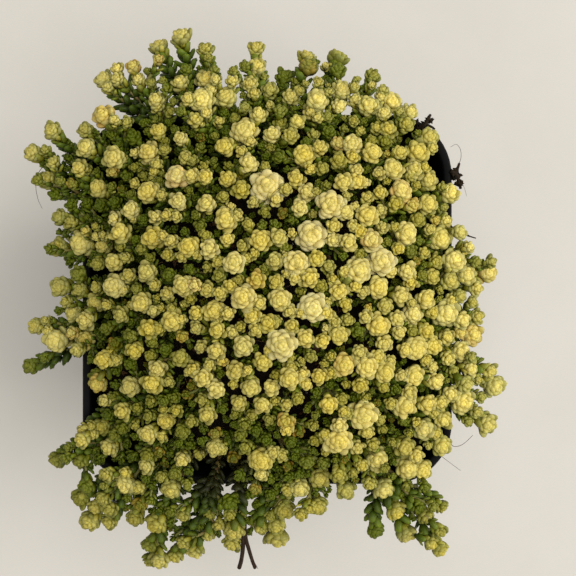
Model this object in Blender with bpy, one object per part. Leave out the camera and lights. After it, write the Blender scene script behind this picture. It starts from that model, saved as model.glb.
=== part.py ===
"""A golden stonecrop (sedum) growing in a square black nursery pot.

The pot stands on z = 0 with its axis on the origin. +X is the right and +Y the top of the view from above.
The plant is laid out in millimetres about the pot's axis, with heights counted from the pot's rim.
"""

import math
import random

import bmesh
import bpy
from mathutils import Vector

MM = 0.001
UP = Vector((0, 0, 1))

# Pot: a thin moulded shell, square with large round corners, under a turned-out rim band
POT_HEIGHT = 120.0
RIM_HALF = 55.0
RIM_CORNER = 18.0
RIM_BAND_HEIGHT = 9.0
RIM_STEP = 2.2
SHOULDER_HEIGHT = 84.0
SHOULDER_STEP = 1.0
BASE_HALF = 38.0
BASE_CORNER = 12.0
BASE_CHAMFER = 1.5
WALL = 1.2
CORNER_SEGMENTS = 5
DRAIN_RADIUS = 3.5
DRAIN_CORNER = 27.0
DRAIN_SIDE = 31.0
DRAIN_SIDES = 8

# Potting mix, level with the bottom of the rim band
SOIL_TOP = POT_HEIGHT - 9.0
FIT = 0.3
SOIL_RINGS = (0.82, 0.62, 0.42, 0.2)
HOLE_RADIUS = 1.6
HOLE_SIDES = 5
HOLE_DEPTH = 8.5
ROOT_SPACING = 4.6

# Stems and rosettes
STEM_DEPTH = 8.0
CLEARANCE = 0.8
RIM_THICK = 3.6
MOST_ARCH = 40
MAIN_STEM_RADIUS = 1.2
SIDE_STEM_RADIUS = 0.85
NECK_RADIUS = 0.7
INNER_GROWTH = 1.9
RIM_GROWTH = 1.3
LARGEST_ROSETTE = 5.4
SMALL_ROSETTE = 4.3
SIBLING_SHARE = 0.52
LEAFY_UPRIGHT = 0.5
ROSETTE_TIER = 1.0
TIER_STEP = 1.1
TIER_LIFT = 0.3
LOWER_TIER = 0.75
CLEANING = (("BEAUTY", 0.45), ("EAR_CLIP", 0.45), ("BEAUTY", 0.2), ("EAR_CLIP", 0.2), ("EAR_CLIP", 0.05))

# Crown of the plant: height of its surface over the rim, and how far its shoots lean
DOME_HEIGHT = 31.0
DOME_EDGE_HEIGHT = 11.0
DOME_REACH = 56.0
DOME_TILT = 38.0
TILT_LOST = 3.0
ROOT_REACH = 38.5
ROOT_OUTWARD = 0.33
ROOT_INWARD = 0.7
OUTERMOST_ROOT = 46.5
INNER_HALF_X = 44.0
INNER_HALF_Y = 47.0
INNER_SPACING = 8.4
INNER_TRIES = 4000
INNER_JITTER = 1.2
INNER_ROOTS = 20
SEED = 11

# The tips were placed on a level sheet this far over the rim, looked at from the eye's position here.
# A tip above or below the sheet is moved along its line of sight.
SHEET_HEIGHT = 8.0
EYE = (6.2, 3.4, 330.0)

# Sprays that lean over the rim, clockwise from the far left. Each holds how far its lowest tip leans
# from upright, in degrees, and a tip for each shoot: x, y, height over the rim and rosette radius, in mm.
RIM_SPRAYS = (
    (55, ((-68, 43, 6, 2.6), (-62, 48, 8, 2.7), (-64, 35, 6, 3.2), (-54, 38, 12, 2.6))),
    (40, ((-53, 49.5, 8, 2.4), (-47, 53, 10, 3.4), (-52, 44.5, 12, 3.0), (-43, 41, 16, 3.0))),
    (60, ((-47.5, 64, 4, 3.2), (-42, 67, 5, 2.8), (-38, 63, 6, 3.0), (-32, 58, 10, 2.6))),
    (70, ((-31, 73, 2, 2.4), (-25, 76, 4, 2.6), (-25, 63, 9, 2.4))),
    (
        60,
        (
            (-18, 72.5, 4, 2.3),
            (-19, 65, 8, 2.6),
            (-18, 58.5, 13, 3.6),
            (-12, 60, 12, 3.0),
            (-19, 52, 15, 2.4),
        ),
    ),
    (60, ((-3, 73, 2, 2.3), (-2.5, 67.5, 5, 2.6), (-5, 62, 9, 2.2))),
    (50, ((1, 62, 8, 2.4), (5, 66, 3, 2.5), (8, 60, 10, 2.4))),
    (80, ((12, 71.5, 1, 2.7), (20.5, 70, 0, 2.9))),
    (45, ((22, 62, 9, 2.8), (15, 58, 13, 3.6))),
    (55, ((31, 65, 3, 2.0), (36, 60, 7, 3.3), (29.5, 57, 11, 2.4))),
    (45, ((42, 54, 7, 2.9), (36, 51, 12, 2.8))),
    (40, ((47, 47.5, 7, 2.9), (44, 41.5, 11, 3.2))),
    (45, ((48, 35, 11, 2.7), (53.5, 31, 8, 3.2), (46, 28.5, 13, 3.0))),
    (50, ((52, 23, 9, 2.3), (50.5, 17, 12, 3.0), (57, 14, 8, 2.4))),
    (60, ((65, 9.5, 3, 3.2), (53, 7, 11, 2.9))),
    (50, ((52, -3, 13, 3.7), (61, -4, 5, 2.2), (61, -10.5, 5, 2.9), (53, -10, 11, 2.4))),
    (55, ((57, -16, 8, 2.8), (66, -20.5, 2, 2.9), (67, -26, 1, 2.6), (56, -22, 7, 2.6))),
    (55, ((57, -29, 7, 3.3), (64.5, -36.5, 1, 2.6))),
    (40, ((51, -35, 8, 2.4), (45.5, -36.5, 12, 3.0), (50.5, -41.5, 5, 3.0))),
    (40, ((39, -42.5, 11, 2.6), (45.5, -48, 6, 3.2), (39.5, -49, 7, 2.8))),
    (
        75,
        (
            (33, -56, 5, 2.8),
            (31.5, -67.5, 0, 2.4),
            (37.5, -61, 4, 2.2),
            (40.5, -68, 0, 2.6),
            (45.5, -62.5, 3, 2.2),
            (51.5, -61, 1, 1.9),
            (50, -72, -2, 2.7),
        ),
    ),
    (50, ((23.5, -55, 6, 3.2), (31, -47, 11, 3.2))),
    (50, ((16, -52, 9, 2.8), (9, -54.5, 10, 3.2), (15, -60, 5, 3.2), (7, -61, 5, 2.8))),
    (70, ((4, -69, 0, 3.2), (-2, -66, 1, 2.3))),
    (65, ((-10, -66, 2, 2.8), (-10.5, -71, -2, 2.4))),
    (
        75,
        (
            (-16.5, -62, 4, 2.2),
            (-17.5, -68, -1, 2.4),
            (-21.5, -73, -3, 2.6),
            (-26.2, -74, -2, 2.4),
            (-24, -62.5, 4, 2.2),
        ),
    ),
    (75, ((-33.5, -77, -3, 2.7), (-34.5, -71, -1, 2.5), (-31, -65, 3, 3.2), (-28, -54, 8, 3.2))),
    (65, ((-39, -63, 1, 2.6), (-36, -55, 6, 2.6))),
    (65, ((-46, -63.5, 0, 2.4), (-52, -63.5, -1, 3.0), (-55, -57, 2, 2.6), (-42.5, -53, 7, 3.0))),
    (70, ((-61, -46, 1, 2.6), (-54.5, -46.5, 3, 2.4), (-46, -43, 9, 2.6))),
    (50, ((-54, -38.5, 6, 3.0), (-48, -35.5, 9, 2.4))),
    (60, ((-69, -20, 0, 2.4), (-67, -8, 4, 2.4), (-61, -12.5, 6, 3.4), (-53, -12, 9, 2.6))),
    (50, ((-57, -3, 7, 2.5), (-60.5, 4, 5, 2.8), (-50, 0, 10, 3.0))),
    (50, ((-60.5, 15.5, 5, 2.6), (-53.5, 15.5, 8, 3.4), (-46, 16, 12, 2.4))),
    (60, ((-60, 24, 5, 2.6), (-53, 24, 8, 2.4), (-48.5, 32, 11, 2.6))),
)

# Largest rosettes inside the rim: x, y and radius in mm. The rest are scattered between them.
INNER_HEADS = (
    (-35.3, 42.5, 3.8), (-26.3, 36, 3.8), (-17, 36.5, 2.4), (-35, 31.3, 3.3), (-26.5, 27.5, 3.0),
    (-39, 25, 3.2), (-17, 27.5, 2.8), (-7.5, 48.5, 4.0), (-8.5, 36.5, 2.7), (0.3, 33.3, 4.2),
    (10.8, 42, 3.1), (2.5, 47.5, 2.6), (19, 46, 2.8), (27, 45, 3.0), (26.6, 36.7, 3.0),
    (11, 33, 2.7), (19.4, 27.7, 3.9), (9.8, 25, 2.6), (29, 25.2, 3.3), (37.2, 39, 3.1),
    (38.5, 31, 3.2), (40.6, 19.3, 3.4), (31.5, 16, 2.8), (35, 9, 3.6), (44, 7, 2.5),
    (32.5, 0.5, 3.0), (43.5, -2.5, 2.6), (33, -8, 3.3), (42.5, -14.5, 3.7), (29.5, -18.5, 3.5),
    (43, -23.5, 3.1), (40, -31.5, 3.3), (28.5, -33, 3.6), (20.8, -39, 3.7), (18.5, -29.5, 3.0),
    (21.3, -18.8, 3.3), (6.4, -22.5, 3.1), (-7, -20, 3.3), (-1, -30, 2.6), (6, -37, 2.8),
    (-1, -46, 3.5), (12, -46, 2.4), (-15.5, -43, 3.2), (-15.5, -30, 3.0), (-18.3, -21, 3.2),
    (-27, -7, 3.2), (-21.5, 3.2, 3.5), (-35.5, -1.5, 3.3), (-43.5, 5, 3.5), (-34, 7.5, 3.0),
    (-33.2, 17.5, 3.0), (-42.5, 15, 2.8), (-24, 14.5, 3.2), (-16.5, 15.2, 3.1), (-37, -11.5, 2.8),
    (-30.5, -18, 2.6), (-39, -24, 3.0), (-30.5, -27, 3.0), (-41, -33, 2.6), (-31, -36.5, 3.3),
    (-24.5, -45, 2.6), (-35, -46.5, 2.8), (-43.5, 24, 2.4), (-45.4, -17, 3.0), (-11.3, 23.2, 2.8),
    (-1.8, 17.2, 3.2), (12.9, 18.6, 4.2), (21.5, 17, 2.6), (-9.3, 11.1, 3.2), (2.6, 12, 2.4),
    (9.6, 9.4, 3.8), (-2.3, 6, 2.8), (20.7, 2.5, 2.9), (-6.7, -0.2, 3.7), (4.3, -0.2, 3.4),
    (14, -2.5, 3.6), (-14.9, -4, 3.0), (-14, 3.8, 2.3), (1, -7.3, 2.7), (20.9, -10.8, 2.8),
    (4.3, -14, 3.6), (-6.8, -11.8, 3.1), (11.8, -11, 2.7), (-14.3, -11, 2.5),
)

# Dried root that hangs over the near rim and forks, points as x, y and height over the rim
DRIED_ROOT = (
    (-6, -45, -16),
    (-6, -45, -9),
    (-6.1, -48.5, -1),
    (-6.5, -55, 2.4),
    (-6.6, -63, 1),
    (-6.3, -69, -1),
    (-7.6, -76, -4),
    (-8.6, -82, -9),
)
DRIED_FORK = ((-6.4, -67.5, -0.4), (-4.6, -74, -3), (-3, -81, -8))
DRIED_RADIUS = 0.6


def new_object(name, mesh_data, material, collection):
    """Closed mesh object in a collection, flat-shaded where it is sharp."""
    obj = bpy.data.objects.new(name, mesh_data)
    collection.objects.link(obj)
    mesh_data.materials.append(material)
    return obj


def make_material(name, colour, roughness):
    """Plain surface of one colour."""
    material = bpy.data.materials.new(name)
    material.use_nodes = True
    shader = material.node_tree.nodes["Principled BSDF"]
    shader.inputs["Base Color"].default_value = (*colour, 1)
    shader.inputs["Roughness"].default_value = roughness
    shader.inputs["Metallic"].default_value = 0
    return material


def rounded_square(half, corner, z):
    """Ring of points round a square with round corners, at height z."""
    ring = []
    for quarter in range(4):
        start = quarter * math.pi / 2
        x = (half - corner) * (1 if quarter in (0, 3) else -1)
        y = (half - corner) * (1 if quarter in (0, 1) else -1)
        for step in range(CORNER_SEGMENTS + 1):
            angle = start + step * math.pi / 2 / CORNER_SEGMENTS
            ring.append(Vector((x + corner * math.cos(angle), y + corner * math.sin(angle), z)))
    return ring


def stitch(bm, low, high):
    """Triangles between two rings of any counts, whose first corners face the same way."""
    i = j = 0
    while i < len(low) or j < len(high):
        forward = j >= len(high) or (i < len(low) and (i + 0.5) * len(high) <= (j + 0.5) * len(low))
        if forward:
            bm.faces.new((low[i % len(low)], low[(i + 1) % len(low)], high[j % len(high)]))
            i += 1
        else:
            bm.faces.new((low[i % len(low)], high[(j + 1) % len(high)], high[j % len(high)]))
            j += 1


def loft(rings, name):
    """Closed mesh through rings of points in millimetres, listed from the low end to the high end.

    A ring of one point is an apex.
    """
    bm = bmesh.new()
    loops = [[bm.verts.new(point * MM) for point in ring] for ring in rings]
    for low, high in zip(loops, loops[1:]):
        if len(high) == 1:
            for i, corner in enumerate(low):
                bm.faces.new((corner, low[(i + 1) % len(low)], high[0]))
        else:
            stitch(bm, low, high)
    bm.faces.new(reversed(loops[0]))
    if len(loops[-1]) > 1:
        bm.faces.new(loops[-1])
    made = bpy.data.meshes.new(name)
    bm.to_mesh(made)
    bm.free()
    return made


def prism(bm, x, y, low, high, radius, sides):
    """Upright prism about x and y, added to bm."""
    made = bmesh.ops.create_cone(
        bm, cap_ends=True, segments=sides, radius1=radius * MM, radius2=radius * MM, depth=(high - low) * MM
    )
    bmesh.ops.translate(bm, verts=made["verts"], vec=Vector((x, y, (low + high) / 2)) * MM)


def cut(obj, cutter):
    """Takes the cutter out of the object."""
    cutter.hide_render = True
    cutter.display_type = "WIRE"
    modifier = obj.modifiers.new("Cut", "BOOLEAN")
    modifier.operation = "DIFFERENCE"
    modifier.solver = "EXACT"
    modifier.object = cutter


def wall_half(z):
    """Half the pot's outer width at height z, below its rim band."""
    taper = (RIM_HALF - RIM_STEP - BASE_HALF) * z / POT_HEIGHT
    return BASE_HALF + taper - (SHOULDER_STEP if z < SHOULDER_HEIGHT else 0)


def wall_corner(z):
    """Radius of the pot's corners at height z."""
    return BASE_CORNER + (RIM_CORNER - RIM_STEP - BASE_CORNER) * z / POT_HEIGHT


def make_pot(parts, cutters):
    """Pot with its rim band, stacking shoulder and drainage holes."""
    band = POT_HEIGHT - RIM_BAND_HEIGHT
    outside = [
        (wall_half(0) - BASE_CHAMFER, wall_corner(0) - BASE_CHAMFER, 0),
        (wall_half(0), wall_corner(0), BASE_CHAMFER),
        (wall_half(SHOULDER_HEIGHT - 1), wall_corner(SHOULDER_HEIGHT), SHOULDER_HEIGHT - 1),
        (wall_half(SHOULDER_HEIGHT), wall_corner(SHOULDER_HEIGHT), SHOULDER_HEIGHT + SHOULDER_STEP),
        (wall_half(band), wall_corner(band), band - RIM_STEP),
        (RIM_HALF - 0.5, RIM_CORNER - 0.5, band),
        (RIM_HALF, RIM_CORNER, POT_HEIGHT - 1),
        (RIM_HALF - 0.6, RIM_CORNER - 0.6, POT_HEIGHT),
    ]
    inside = [
        (RIM_HALF - RIM_STEP - 0.4, RIM_CORNER - RIM_STEP - 0.4, POT_HEIGHT - 0.4),
        (wall_half(band) - WALL, wall_corner(band) - WALL, band - RIM_STEP),
        (wall_half(SHOULDER_HEIGHT) - WALL, wall_corner(SHOULDER_HEIGHT) - WALL, SHOULDER_HEIGHT + 2 * WALL),
        (wall_half(0) - WALL, wall_corner(0) - WALL, 2 * WALL),
        (wall_half(0) - 2 * WALL, wall_corner(0) - 2 * WALL, WALL),
    ]
    rings = [rounded_square(*section) for section in outside + inside]
    plastic = make_material("black_plastic", (0.012, 0.012, 0.014), 0.45)
    pot = new_object("pot", loft(rings, "pot"), plastic, parts)
    bm = bmesh.new()
    spots = [(x, y) for x in (-DRAIN_CORNER, DRAIN_CORNER) for y in (-DRAIN_CORNER, DRAIN_CORNER)]
    spots += [(DRAIN_SIDE, 0), (-DRAIN_SIDE, 0), (0, DRAIN_SIDE), (0, -DRAIN_SIDE)]
    for x, y in spots:
        prism(bm, x, y, -2 * WALL, 3 * WALL, DRAIN_RADIUS, DRAIN_SIDES)
    holes = bpy.data.meshes.new("drain_holes")
    bm.to_mesh(holes)
    bm.free()
    cutter = bpy.data.objects.new("drain_holes", holes)
    cutters.objects.link(cutter)
    cut(pot, cutter)


def soil_lump(x, y):
    """Unevenness of the potting mix's surface."""
    return 0.7 * math.sin(0.31 * x + 0.9) * math.cos(0.27 * y) + 0.5 * math.sin(0.83 * x - 0.61 * y)


def make_soil(parts, cutters, roots):
    """Potting mix that fills the pot, with a plain hole for each stem."""
    half = wall_half(SOIL_TOP) - WALL - FIT
    corner = wall_corner(SOIL_TOP) - WALL - FIT
    low_half = wall_half(0) - 2 * WALL - FIT
    rings = [
        rounded_square(low_half - 1, wall_corner(0) - 2 * WALL - FIT - 1, WALL + FIT),
        rounded_square(low_half, wall_corner(0) - 2 * WALL - FIT, 2.5 * WALL + FIT),
        rounded_square(
            wall_half(SHOULDER_HEIGHT - 1) - WALL - FIT,
            wall_corner(SHOULDER_HEIGHT) - WALL - FIT,
            SHOULDER_HEIGHT,
        ),
        rounded_square(half - 0.6, corner - 0.6, SOIL_TOP - RIM_STEP - 0.5),
        rounded_square(half - 0.6, corner - 0.6, SOIL_TOP - 0.8),
    ]
    for share in SOIL_RINGS:
        ring = rounded_square(half * share, corner * share, SOIL_TOP)
        rings.append([point + UP * soil_lump(point.x, point.y) for point in ring])
    rings.append([Vector((0, 0, SOIL_TOP + 0.5))])
    mix = make_material("potting_mix", (0.03, 0.02, 0.014), 0.95)
    soil = new_object("soil", loft(rings, "soil"), mix, parts)
    bm = bmesh.new()
    for x, y in roots:
        prism(bm, x, y, SOIL_TOP - HOLE_DEPTH, SOIL_TOP + 4, HOLE_RADIUS, HOLE_SIDES)
    holes = bpy.data.meshes.new("stem_holes")
    bm.to_mesh(holes)
    bm.free()
    cutter = bpy.data.objects.new("stem_holes", holes)
    cutters.objects.link(cutter)
    cut(soil, cutter)


def spread(x, y):
    """Distance from the pot's axis, measured so that a rounded square has one value all round."""
    return (abs(x) ** 3 + abs(y) ** 3) ** (1 / 3)


def dome_height(x, y):
    """Height of the crown's surface over the rim."""
    share = min(1.0, spread(x, y) / DOME_REACH)
    return DOME_HEIGHT - (DOME_HEIGHT - DOME_EDGE_HEIGHT) * share**2.2


def along_sight(x, y, height):
    """Moves a spot on the level sheet along its line of sight to another height over the rim."""
    share = (EYE[2] - height) / (EYE[2] - SHEET_HEIGHT)
    return EYE[0] + (x - EYE[0]) * share, EYE[1] + (y - EYE[1]) * share


def root_of(tips):
    """Where a spray's stem leaves the potting mix. Low sprays root near the wall, under higher ones."""
    x, y, height = (sum(tip[k] for tip in tips) / len(tips) for k in range(3))
    reach = max(spread(x, y), 1e-6)
    root_reach = 0.8 * reach
    if reach > 46:
        root_reach = ROOT_REACH + ROOT_OUTWARD * (reach - 46) - ROOT_INWARD * height
    root_reach = min(root_reach, OUTERMOST_ROOT)
    return x * root_reach / reach, y * root_reach / reach


def spread_roots(roots):
    """Moves the stems' roots apart, so that the potting mix keeps a wall between their holes."""
    roots = [Vector(root) for root in roots]
    for _ in range(60):
        for i, a in enumerate(roots):
            for b in roots[i + 1 :]:
                gap = b - a
                short = ROOT_SPACING - gap.length
                if short > 0:
                    step = gap.normalized() * (short / 2 + 0.01)
                    b += step
                    a -= step
    return roots


def rim_sprays():
    """Sprays that lean over the rim, with their tips moved along their lines of sight."""
    return [
        (tilt, tuple((*along_sight(x, y, height), height, radius) for x, y, height, radius in tips))
        for tilt, tips in RIM_SPRAYS
    ]


def inner_sprays():
    """Sprays inside the rim: the largest tips, then more scattered between, each on the nearest stem."""
    draw = random.Random(SEED)
    rim_tips = [tip for _, tips in rim_sprays() for tip in tips]
    tips = []
    for x, y, radius in INNER_HEADS:
        height = dome_height(x, y) + draw.uniform(-INNER_JITTER, INNER_JITTER)
        tips.append((*along_sight(x, y, height), height, radius))
    for _ in range(INNER_TRIES):
        x = draw.uniform(-INNER_HALF_X, INNER_HALF_X)
        y = draw.uniform(-INNER_HALF_Y, INNER_HALF_Y)
        height = dome_height(x, y) + draw.uniform(-INNER_JITTER, INNER_JITTER)
        radius = draw.choice((2.4, 2.7, 3.0, 3.6))
        apart = min(math.dist((x, y), tip[:2]) for tip in rim_tips + tips)
        if apart > INNER_SPACING:
            tips.append((x, y, height, radius))
    centres = [tips[i * len(tips) // INNER_ROOTS][:2] for i in range(INNER_ROOTS)]
    for _ in range(12):
        groups = [[] for _ in centres]
        for tip in tips:
            nearest = min(range(len(centres)), key=lambda i: math.dist(centres[i], tip[:2]))
            groups[nearest].append(tip)
        centres = [
            (sum(t[0] for t in g) / len(g), sum(t[1] for t in g) / len(g)) if g else c
            for g, c in zip(groups, centres)
        ]
    return [(None, tuple(group)) for group in groups if group]


def lean_of(tip, tilt, lowest):
    """Unit vector along a shoot's tip. Inside the rim it leans out with the dome."""
    x, y, height = tip[:3]
    if tilt is None:
        tilt = DOME_TILT * min(1.0, spread(x, y) / DOME_REACH) ** 1.5
    else:
        tilt -= TILT_LOST * (height - lowest)
    outward = Vector((x, y, 0)).normalized()
    angle = math.radians(tilt)
    return outward * math.sin(angle) + UP * math.cos(angle)


def bezier(points, t):
    """Point on a cubic curve."""
    a, b, c, d = points
    s = 1 - t
    return a * s**3 + b * 3 * s * s * t + c * 3 * s * t * t + d * t**3


def outside_rim(x, y):
    """Distance outside the rim's outline, negative inside it."""
    flat = RIM_HALF - RIM_CORNER
    over_x, over_y = abs(x) - flat, abs(y) - flat
    return math.hypot(max(over_x, 0), max(over_y, 0)) + min(max(over_x, over_y), 0) - RIM_CORNER


def clears_pot(point, radius):
    """Whether a ball about the point stays off the pot's wall."""
    outside = outside_rim(point.x, point.y)
    room = radius + CLEARANCE
    return outside > room or outside < -RIM_THICK - room or point.z > POT_HEIGHT + room


def stem_curve(start, rise, tip, lean, radius):
    """Cubic curve from start, along rise, to the tip, along its lean, arched enough to clear the rim."""
    end = Vector((tip[0], tip[1], POT_HEIGHT + tip[2]))
    length = (end - start).length
    curve = (start, start + rise * 0.4 * length, end - lean * 0.38 * length, end)
    for arch in range(MOST_ARCH):
        curve = (start, start + rise * 0.4 * length + UP * arch, end - lean * 0.38 * length + UP * arch, end)
        if all(clears_pot(bezier(curve, t / 24), radius) for t in range(25)):
            break
    return curve


def ring_round(centre, along, radius, sides, turn=0.0, valley=None, lift=0.0):
    """Ring of points round a stem. With a valley, every second one is drawn in and stays behind."""
    twist = UP.rotation_difference(along)
    ring = []
    count = sides if valley is None else 2 * sides
    for i in range(count):
        angle = turn + i * math.tau / count
        tip = valley is None or i % 2 == 0
        reach = radius if tip else valley
        flat = Vector((math.cos(angle) * reach, math.sin(angle) * reach, lift if tip else 0))
        ring.append(centre + twist @ flat)
    return ring


def shoot(name, curve, steps, stem_radius, sides, rosette, foot=None):
    """Closed mesh of one stem with tiers of pointed leaves on its end, the widest two as a rosette.

    A shoot that hangs far over has one more tier, since its side is in sight.
    """
    end = curve[3]
    along = (curve[3] - curve[2]).normalized()
    hangs = along.z < LEAFY_UPRIGHT and outside_rim(end.x, end.y) > 3 * rosette
    lower_tiers = 2 if hangs else 1
    leaves = 4 if rosette < SMALL_ROSETTE else 5
    reach = (ROSETTE_TIER + TIER_STEP * (lower_tiers + 0.8)) * rosette
    last = max(0.35, 1 - reach / (1.14 * (curve[3] - curve[0]).length))
    rings = []
    if foot is not None:
        rings.append(ring_round(foot, UP, stem_radius, sides))
    for i in range(steps + 1):
        t = last * i / steps
        tangent = (bezier(curve, t + 0.01) - bezier(curve, t - 0.01)).normalized()
        radius = stem_radius + (NECK_RADIUS - stem_radius) * i / steps
        rings.append(ring_round(bezier(curve, t), tangent, radius, sides))
    lift = TIER_LIFT * rosette
    for tier in range(lower_tiers, 0, -1):
        centre = end - along * (ROSETTE_TIER + TIER_STEP * tier) * rosette
        rings.append(ring_round(centre, along, LOWER_TIER * rosette, 3, tier, 1.3 * NECK_RADIUS, 1.6 * lift))
    centre = end - along * ROSETTE_TIER * rosette
    rings.append(ring_round(centre, along, rosette, leaves, 0, 0.62 * rosette, lift))
    centre = end - along * 0.42 * rosette
    rings.append(ring_round(centre, along, 0.68 * rosette, leaves, math.pi / leaves, 0.46 * rosette, lift))
    rings.append([end])
    return loft(rings, name)


def rosette_sizes(sprays):
    """Rosette radius for each tip: larger than life, but clear of every other spray's."""
    placed = [(s, Vector((t[0], t[1], t[2])), t[3]) for s, (_, tips) in enumerate(sprays) for t in tips]
    sizes = []
    for s, tips in enumerate(sprays):
        for tip in tips[1]:
            here = Vector(tip[:3])
            room = min((here - other).length for k, other, _ in placed if k != s)
            own = [(here - other).length for k, other, _ in placed if k == s and other != here]
            beside = SIBLING_SHARE * min(own, default=100)
            growth = INNER_GROWTH if tips[0] is None else RIM_GROWTH
            sizes.append(min(LARGEST_ROSETTE, growth * tip[3], room / 2 - FIT, beside))
    return sizes


def raised_clear(tip, lean, size):
    """The tip, raised until its rosette is clear of the pot's rim."""
    x, y, height = tip[:3]
    for _ in range(MOST_ARCH):
        end = Vector((x, y, POT_HEIGHT + height))
        points = ring_round(end - lean * ROSETTE_TIER * size, lean, size, 8)
        points += ring_round(end - lean * (ROSETTE_TIER + TIER_STEP) * size, lean, LOWER_TIER * size, 8)
        if all(clears_pot(point, 0) for point in points):
            break
        height += 0.5
    return (x, y, height)


def make_spray(name, tilt, tips, sizes, root, material, parts):
    """One branching stem: its middle shoot stands in the potting mix and carries the others."""
    lowest = min(tip[2] for tip in tips)
    leans = [lean_of(tip, tilt, lowest) for tip in tips]
    tips = [raised_clear(*shoot_tip) for shoot_tip in zip(tips, leans, sizes)]
    foot = Vector((*root, SOIL_TOP - STEM_DEPTH))
    start = Vector((*root, SOIL_TOP))
    centre = Vector((sum(t[0] for t in tips), sum(t[1] for t in tips))) / len(tips)
    order = sorted(range(len(tips)), key=lambda i: (Vector(tips[i][:2]) - centre).length)
    first = tips[order[0]]
    main_curve = stem_curve(start, UP, first, leans[order[0]], MAIN_STEM_RADIUS)
    steps = 2 if tilt is None else 3
    mesh = shoot(name, main_curve, steps, MAIN_STEM_RADIUS, 3, sizes[order[0]], foot)
    spray = new_object(name, mesh, material, parts)
    branches = bpy.data.collections.new(name + "_branches")
    for place, i in enumerate(order[1:]):
        fork = 0.22 + 0.36 * place / max(1, len(order) - 1)
        origin = bezier(main_curve, fork)
        tangent = (bezier(main_curve, fork + 0.02) - origin).normalized()
        end = Vector((tips[i][0], tips[i][1], POT_HEIGHT + tips[i][2]))
        rise = (tangent * 1.5 + (end - origin).normalized()).normalized()
        curve = stem_curve(origin, rise, tips[i], leans[i], SIDE_STEM_RADIUS)
        branch = shoot(name + "_branch", curve, 2, SIDE_STEM_RADIUS, 3, sizes[i])
        branches.objects.link(bpy.data.objects.new(name + "_branch", branch))
    if branches.objects:
        union(spray, branches, CLEANING)


def drop_scraps(bm):
    """Keeps only the largest connected body."""
    bodies = []
    left = set(bm.verts)
    while left:
        body = set()
        edge_of_body = {left.pop()}
        while edge_of_body:
            corner = edge_of_body.pop()
            body.add(corner)
            edge_of_body |= {e.other_vert(corner) for e in corner.link_edges} - body
        left -= body
        bodies.append(body)
    bodies.sort(key=len)
    for scrap in bodies[:-1]:
        bmesh.ops.delete(bm, geom=list(scrap), context="VERTS")


def merge_short_edges(bm, shortest):
    """Merges the ends of shorter edges, where the surface stays closed."""
    merged = True
    while merged:
        merged = False
        for edge in bm.edges:
            if edge.calc_length() > shortest * MM:
                continue
            a, b = edge.verts
            near_a = {other.other_vert(a) for other in a.link_edges}
            near_b = {other.other_vert(b) for other in b.link_edges}
            if len(near_a & near_b) == 2:
                bmesh.ops.pointmerge(bm, verts=(a, b), merge_co=(a.co + b.co) / 2)
                merged = True
                break


def cleaned(joined, ways):
    """Writes the joined mesh back as triangles, without scraps or edges too short to matter."""
    for method, shortest in ways:
        bm = bmesh.new()
        bm.from_mesh(joined)
        drop_scraps(bm)
        bmesh.ops.triangulate(bm, faces=bm.faces, ngon_method=method)
        merge_short_edges(bm, shortest)
        if all(len(edge.link_faces) == 2 for edge in bm.edges):
            bm.to_mesh(joined)
            bm.free()
            return joined
        bm.free()
    return joined


def union(obj, collection, ways):
    """Joins the collection's meshes to the object's and removes them."""
    bpy.context.scene.collection.children.link(collection)
    modifier = obj.modifiers.new("Join", "BOOLEAN")
    modifier.operation = "UNION"
    modifier.operand_type = "COLLECTION"
    modifier.collection = collection
    modifier.solver = "MANIFOLD"
    bpy.context.view_layer.update()
    graph = bpy.context.evaluated_depsgraph_get()
    joined = bpy.data.meshes.new_from_object(obj.evaluated_get(graph))
    obj.modifiers.clear()
    obj.data = cleaned(joined, ways)
    for piece in list(collection.objects):
        bpy.data.objects.remove(piece)
    bpy.data.collections.remove(collection)


def tube(points, radius, sides, name):
    """Closed tapering tube through points given over the rim."""
    path = [Vector((x, y, POT_HEIGHT + z)) for x, y, z in points]
    rings = []
    for i, point in enumerate(path):
        ahead, behind = path[min(i + 1, len(path) - 1)], path[max(i - 1, 0)]
        thin = 1 - 0.4 * i / (len(path) - 1)
        rings.append(ring_round(point, (ahead - behind).normalized(), radius * thin, sides))
    return loft(rings, name)


def make_dried_root(spot, parts):
    """Dead root that hangs over the rim, with one fork."""
    sunk = [(*spot, height) for _, _, height in DRIED_ROOT[:2]]
    bark = make_material("dried_root", (0.03, 0.022, 0.018), 0.8)
    root = new_object("dried_root", tube(sunk + list(DRIED_ROOT[2:]), DRIED_RADIUS, 5, "dried_root"), bark, parts)
    fork = bpy.data.collections.new("dried_fork")
    fork.objects.link(bpy.data.objects.new("dried_fork", tube(DRIED_FORK, 0.8 * DRIED_RADIUS, 5, "dried_fork")))
    union(root, fork, CLEANING[-1:])


def main():
    for obj in list(bpy.data.objects):
        bpy.data.objects.remove(obj)
    parts = bpy.data.collections.new("potted_sedum")
    cutters = bpy.data.collections.new("cutters")
    bpy.context.scene.collection.children.link(parts)
    bpy.context.scene.collection.children.link(cutters)
    leaf = make_material("sedum", (0.55, 0.50, 0.12), 0.5)
    sprays = rim_sprays() + inner_sprays()
    sizes = rosette_sizes(sprays)
    roots = spread_roots([root_of(tips) for _, tips in sprays] + [DRIED_ROOT[0][:2]])
    for number, (tilt, tips) in enumerate(sprays):
        inner = number - len(RIM_SPRAYS)
        name = f"rim_spray_{number + 1:02d}" if inner < 0 else f"inner_spray_{inner + 1:02d}"
        own_sizes = [sizes.pop(0) for _ in tips]
        make_spray(name, tilt, tips, own_sizes, roots[number], leaf, parts)
    make_dried_root(roots[-1], parts)
    make_pot(parts, cutters)
    make_soil(parts, cutters, roots)


main()
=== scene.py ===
import math
import random
from collections import namedtuple

import bmesh
import bpy
import numpy as np
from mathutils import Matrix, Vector, noise


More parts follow.
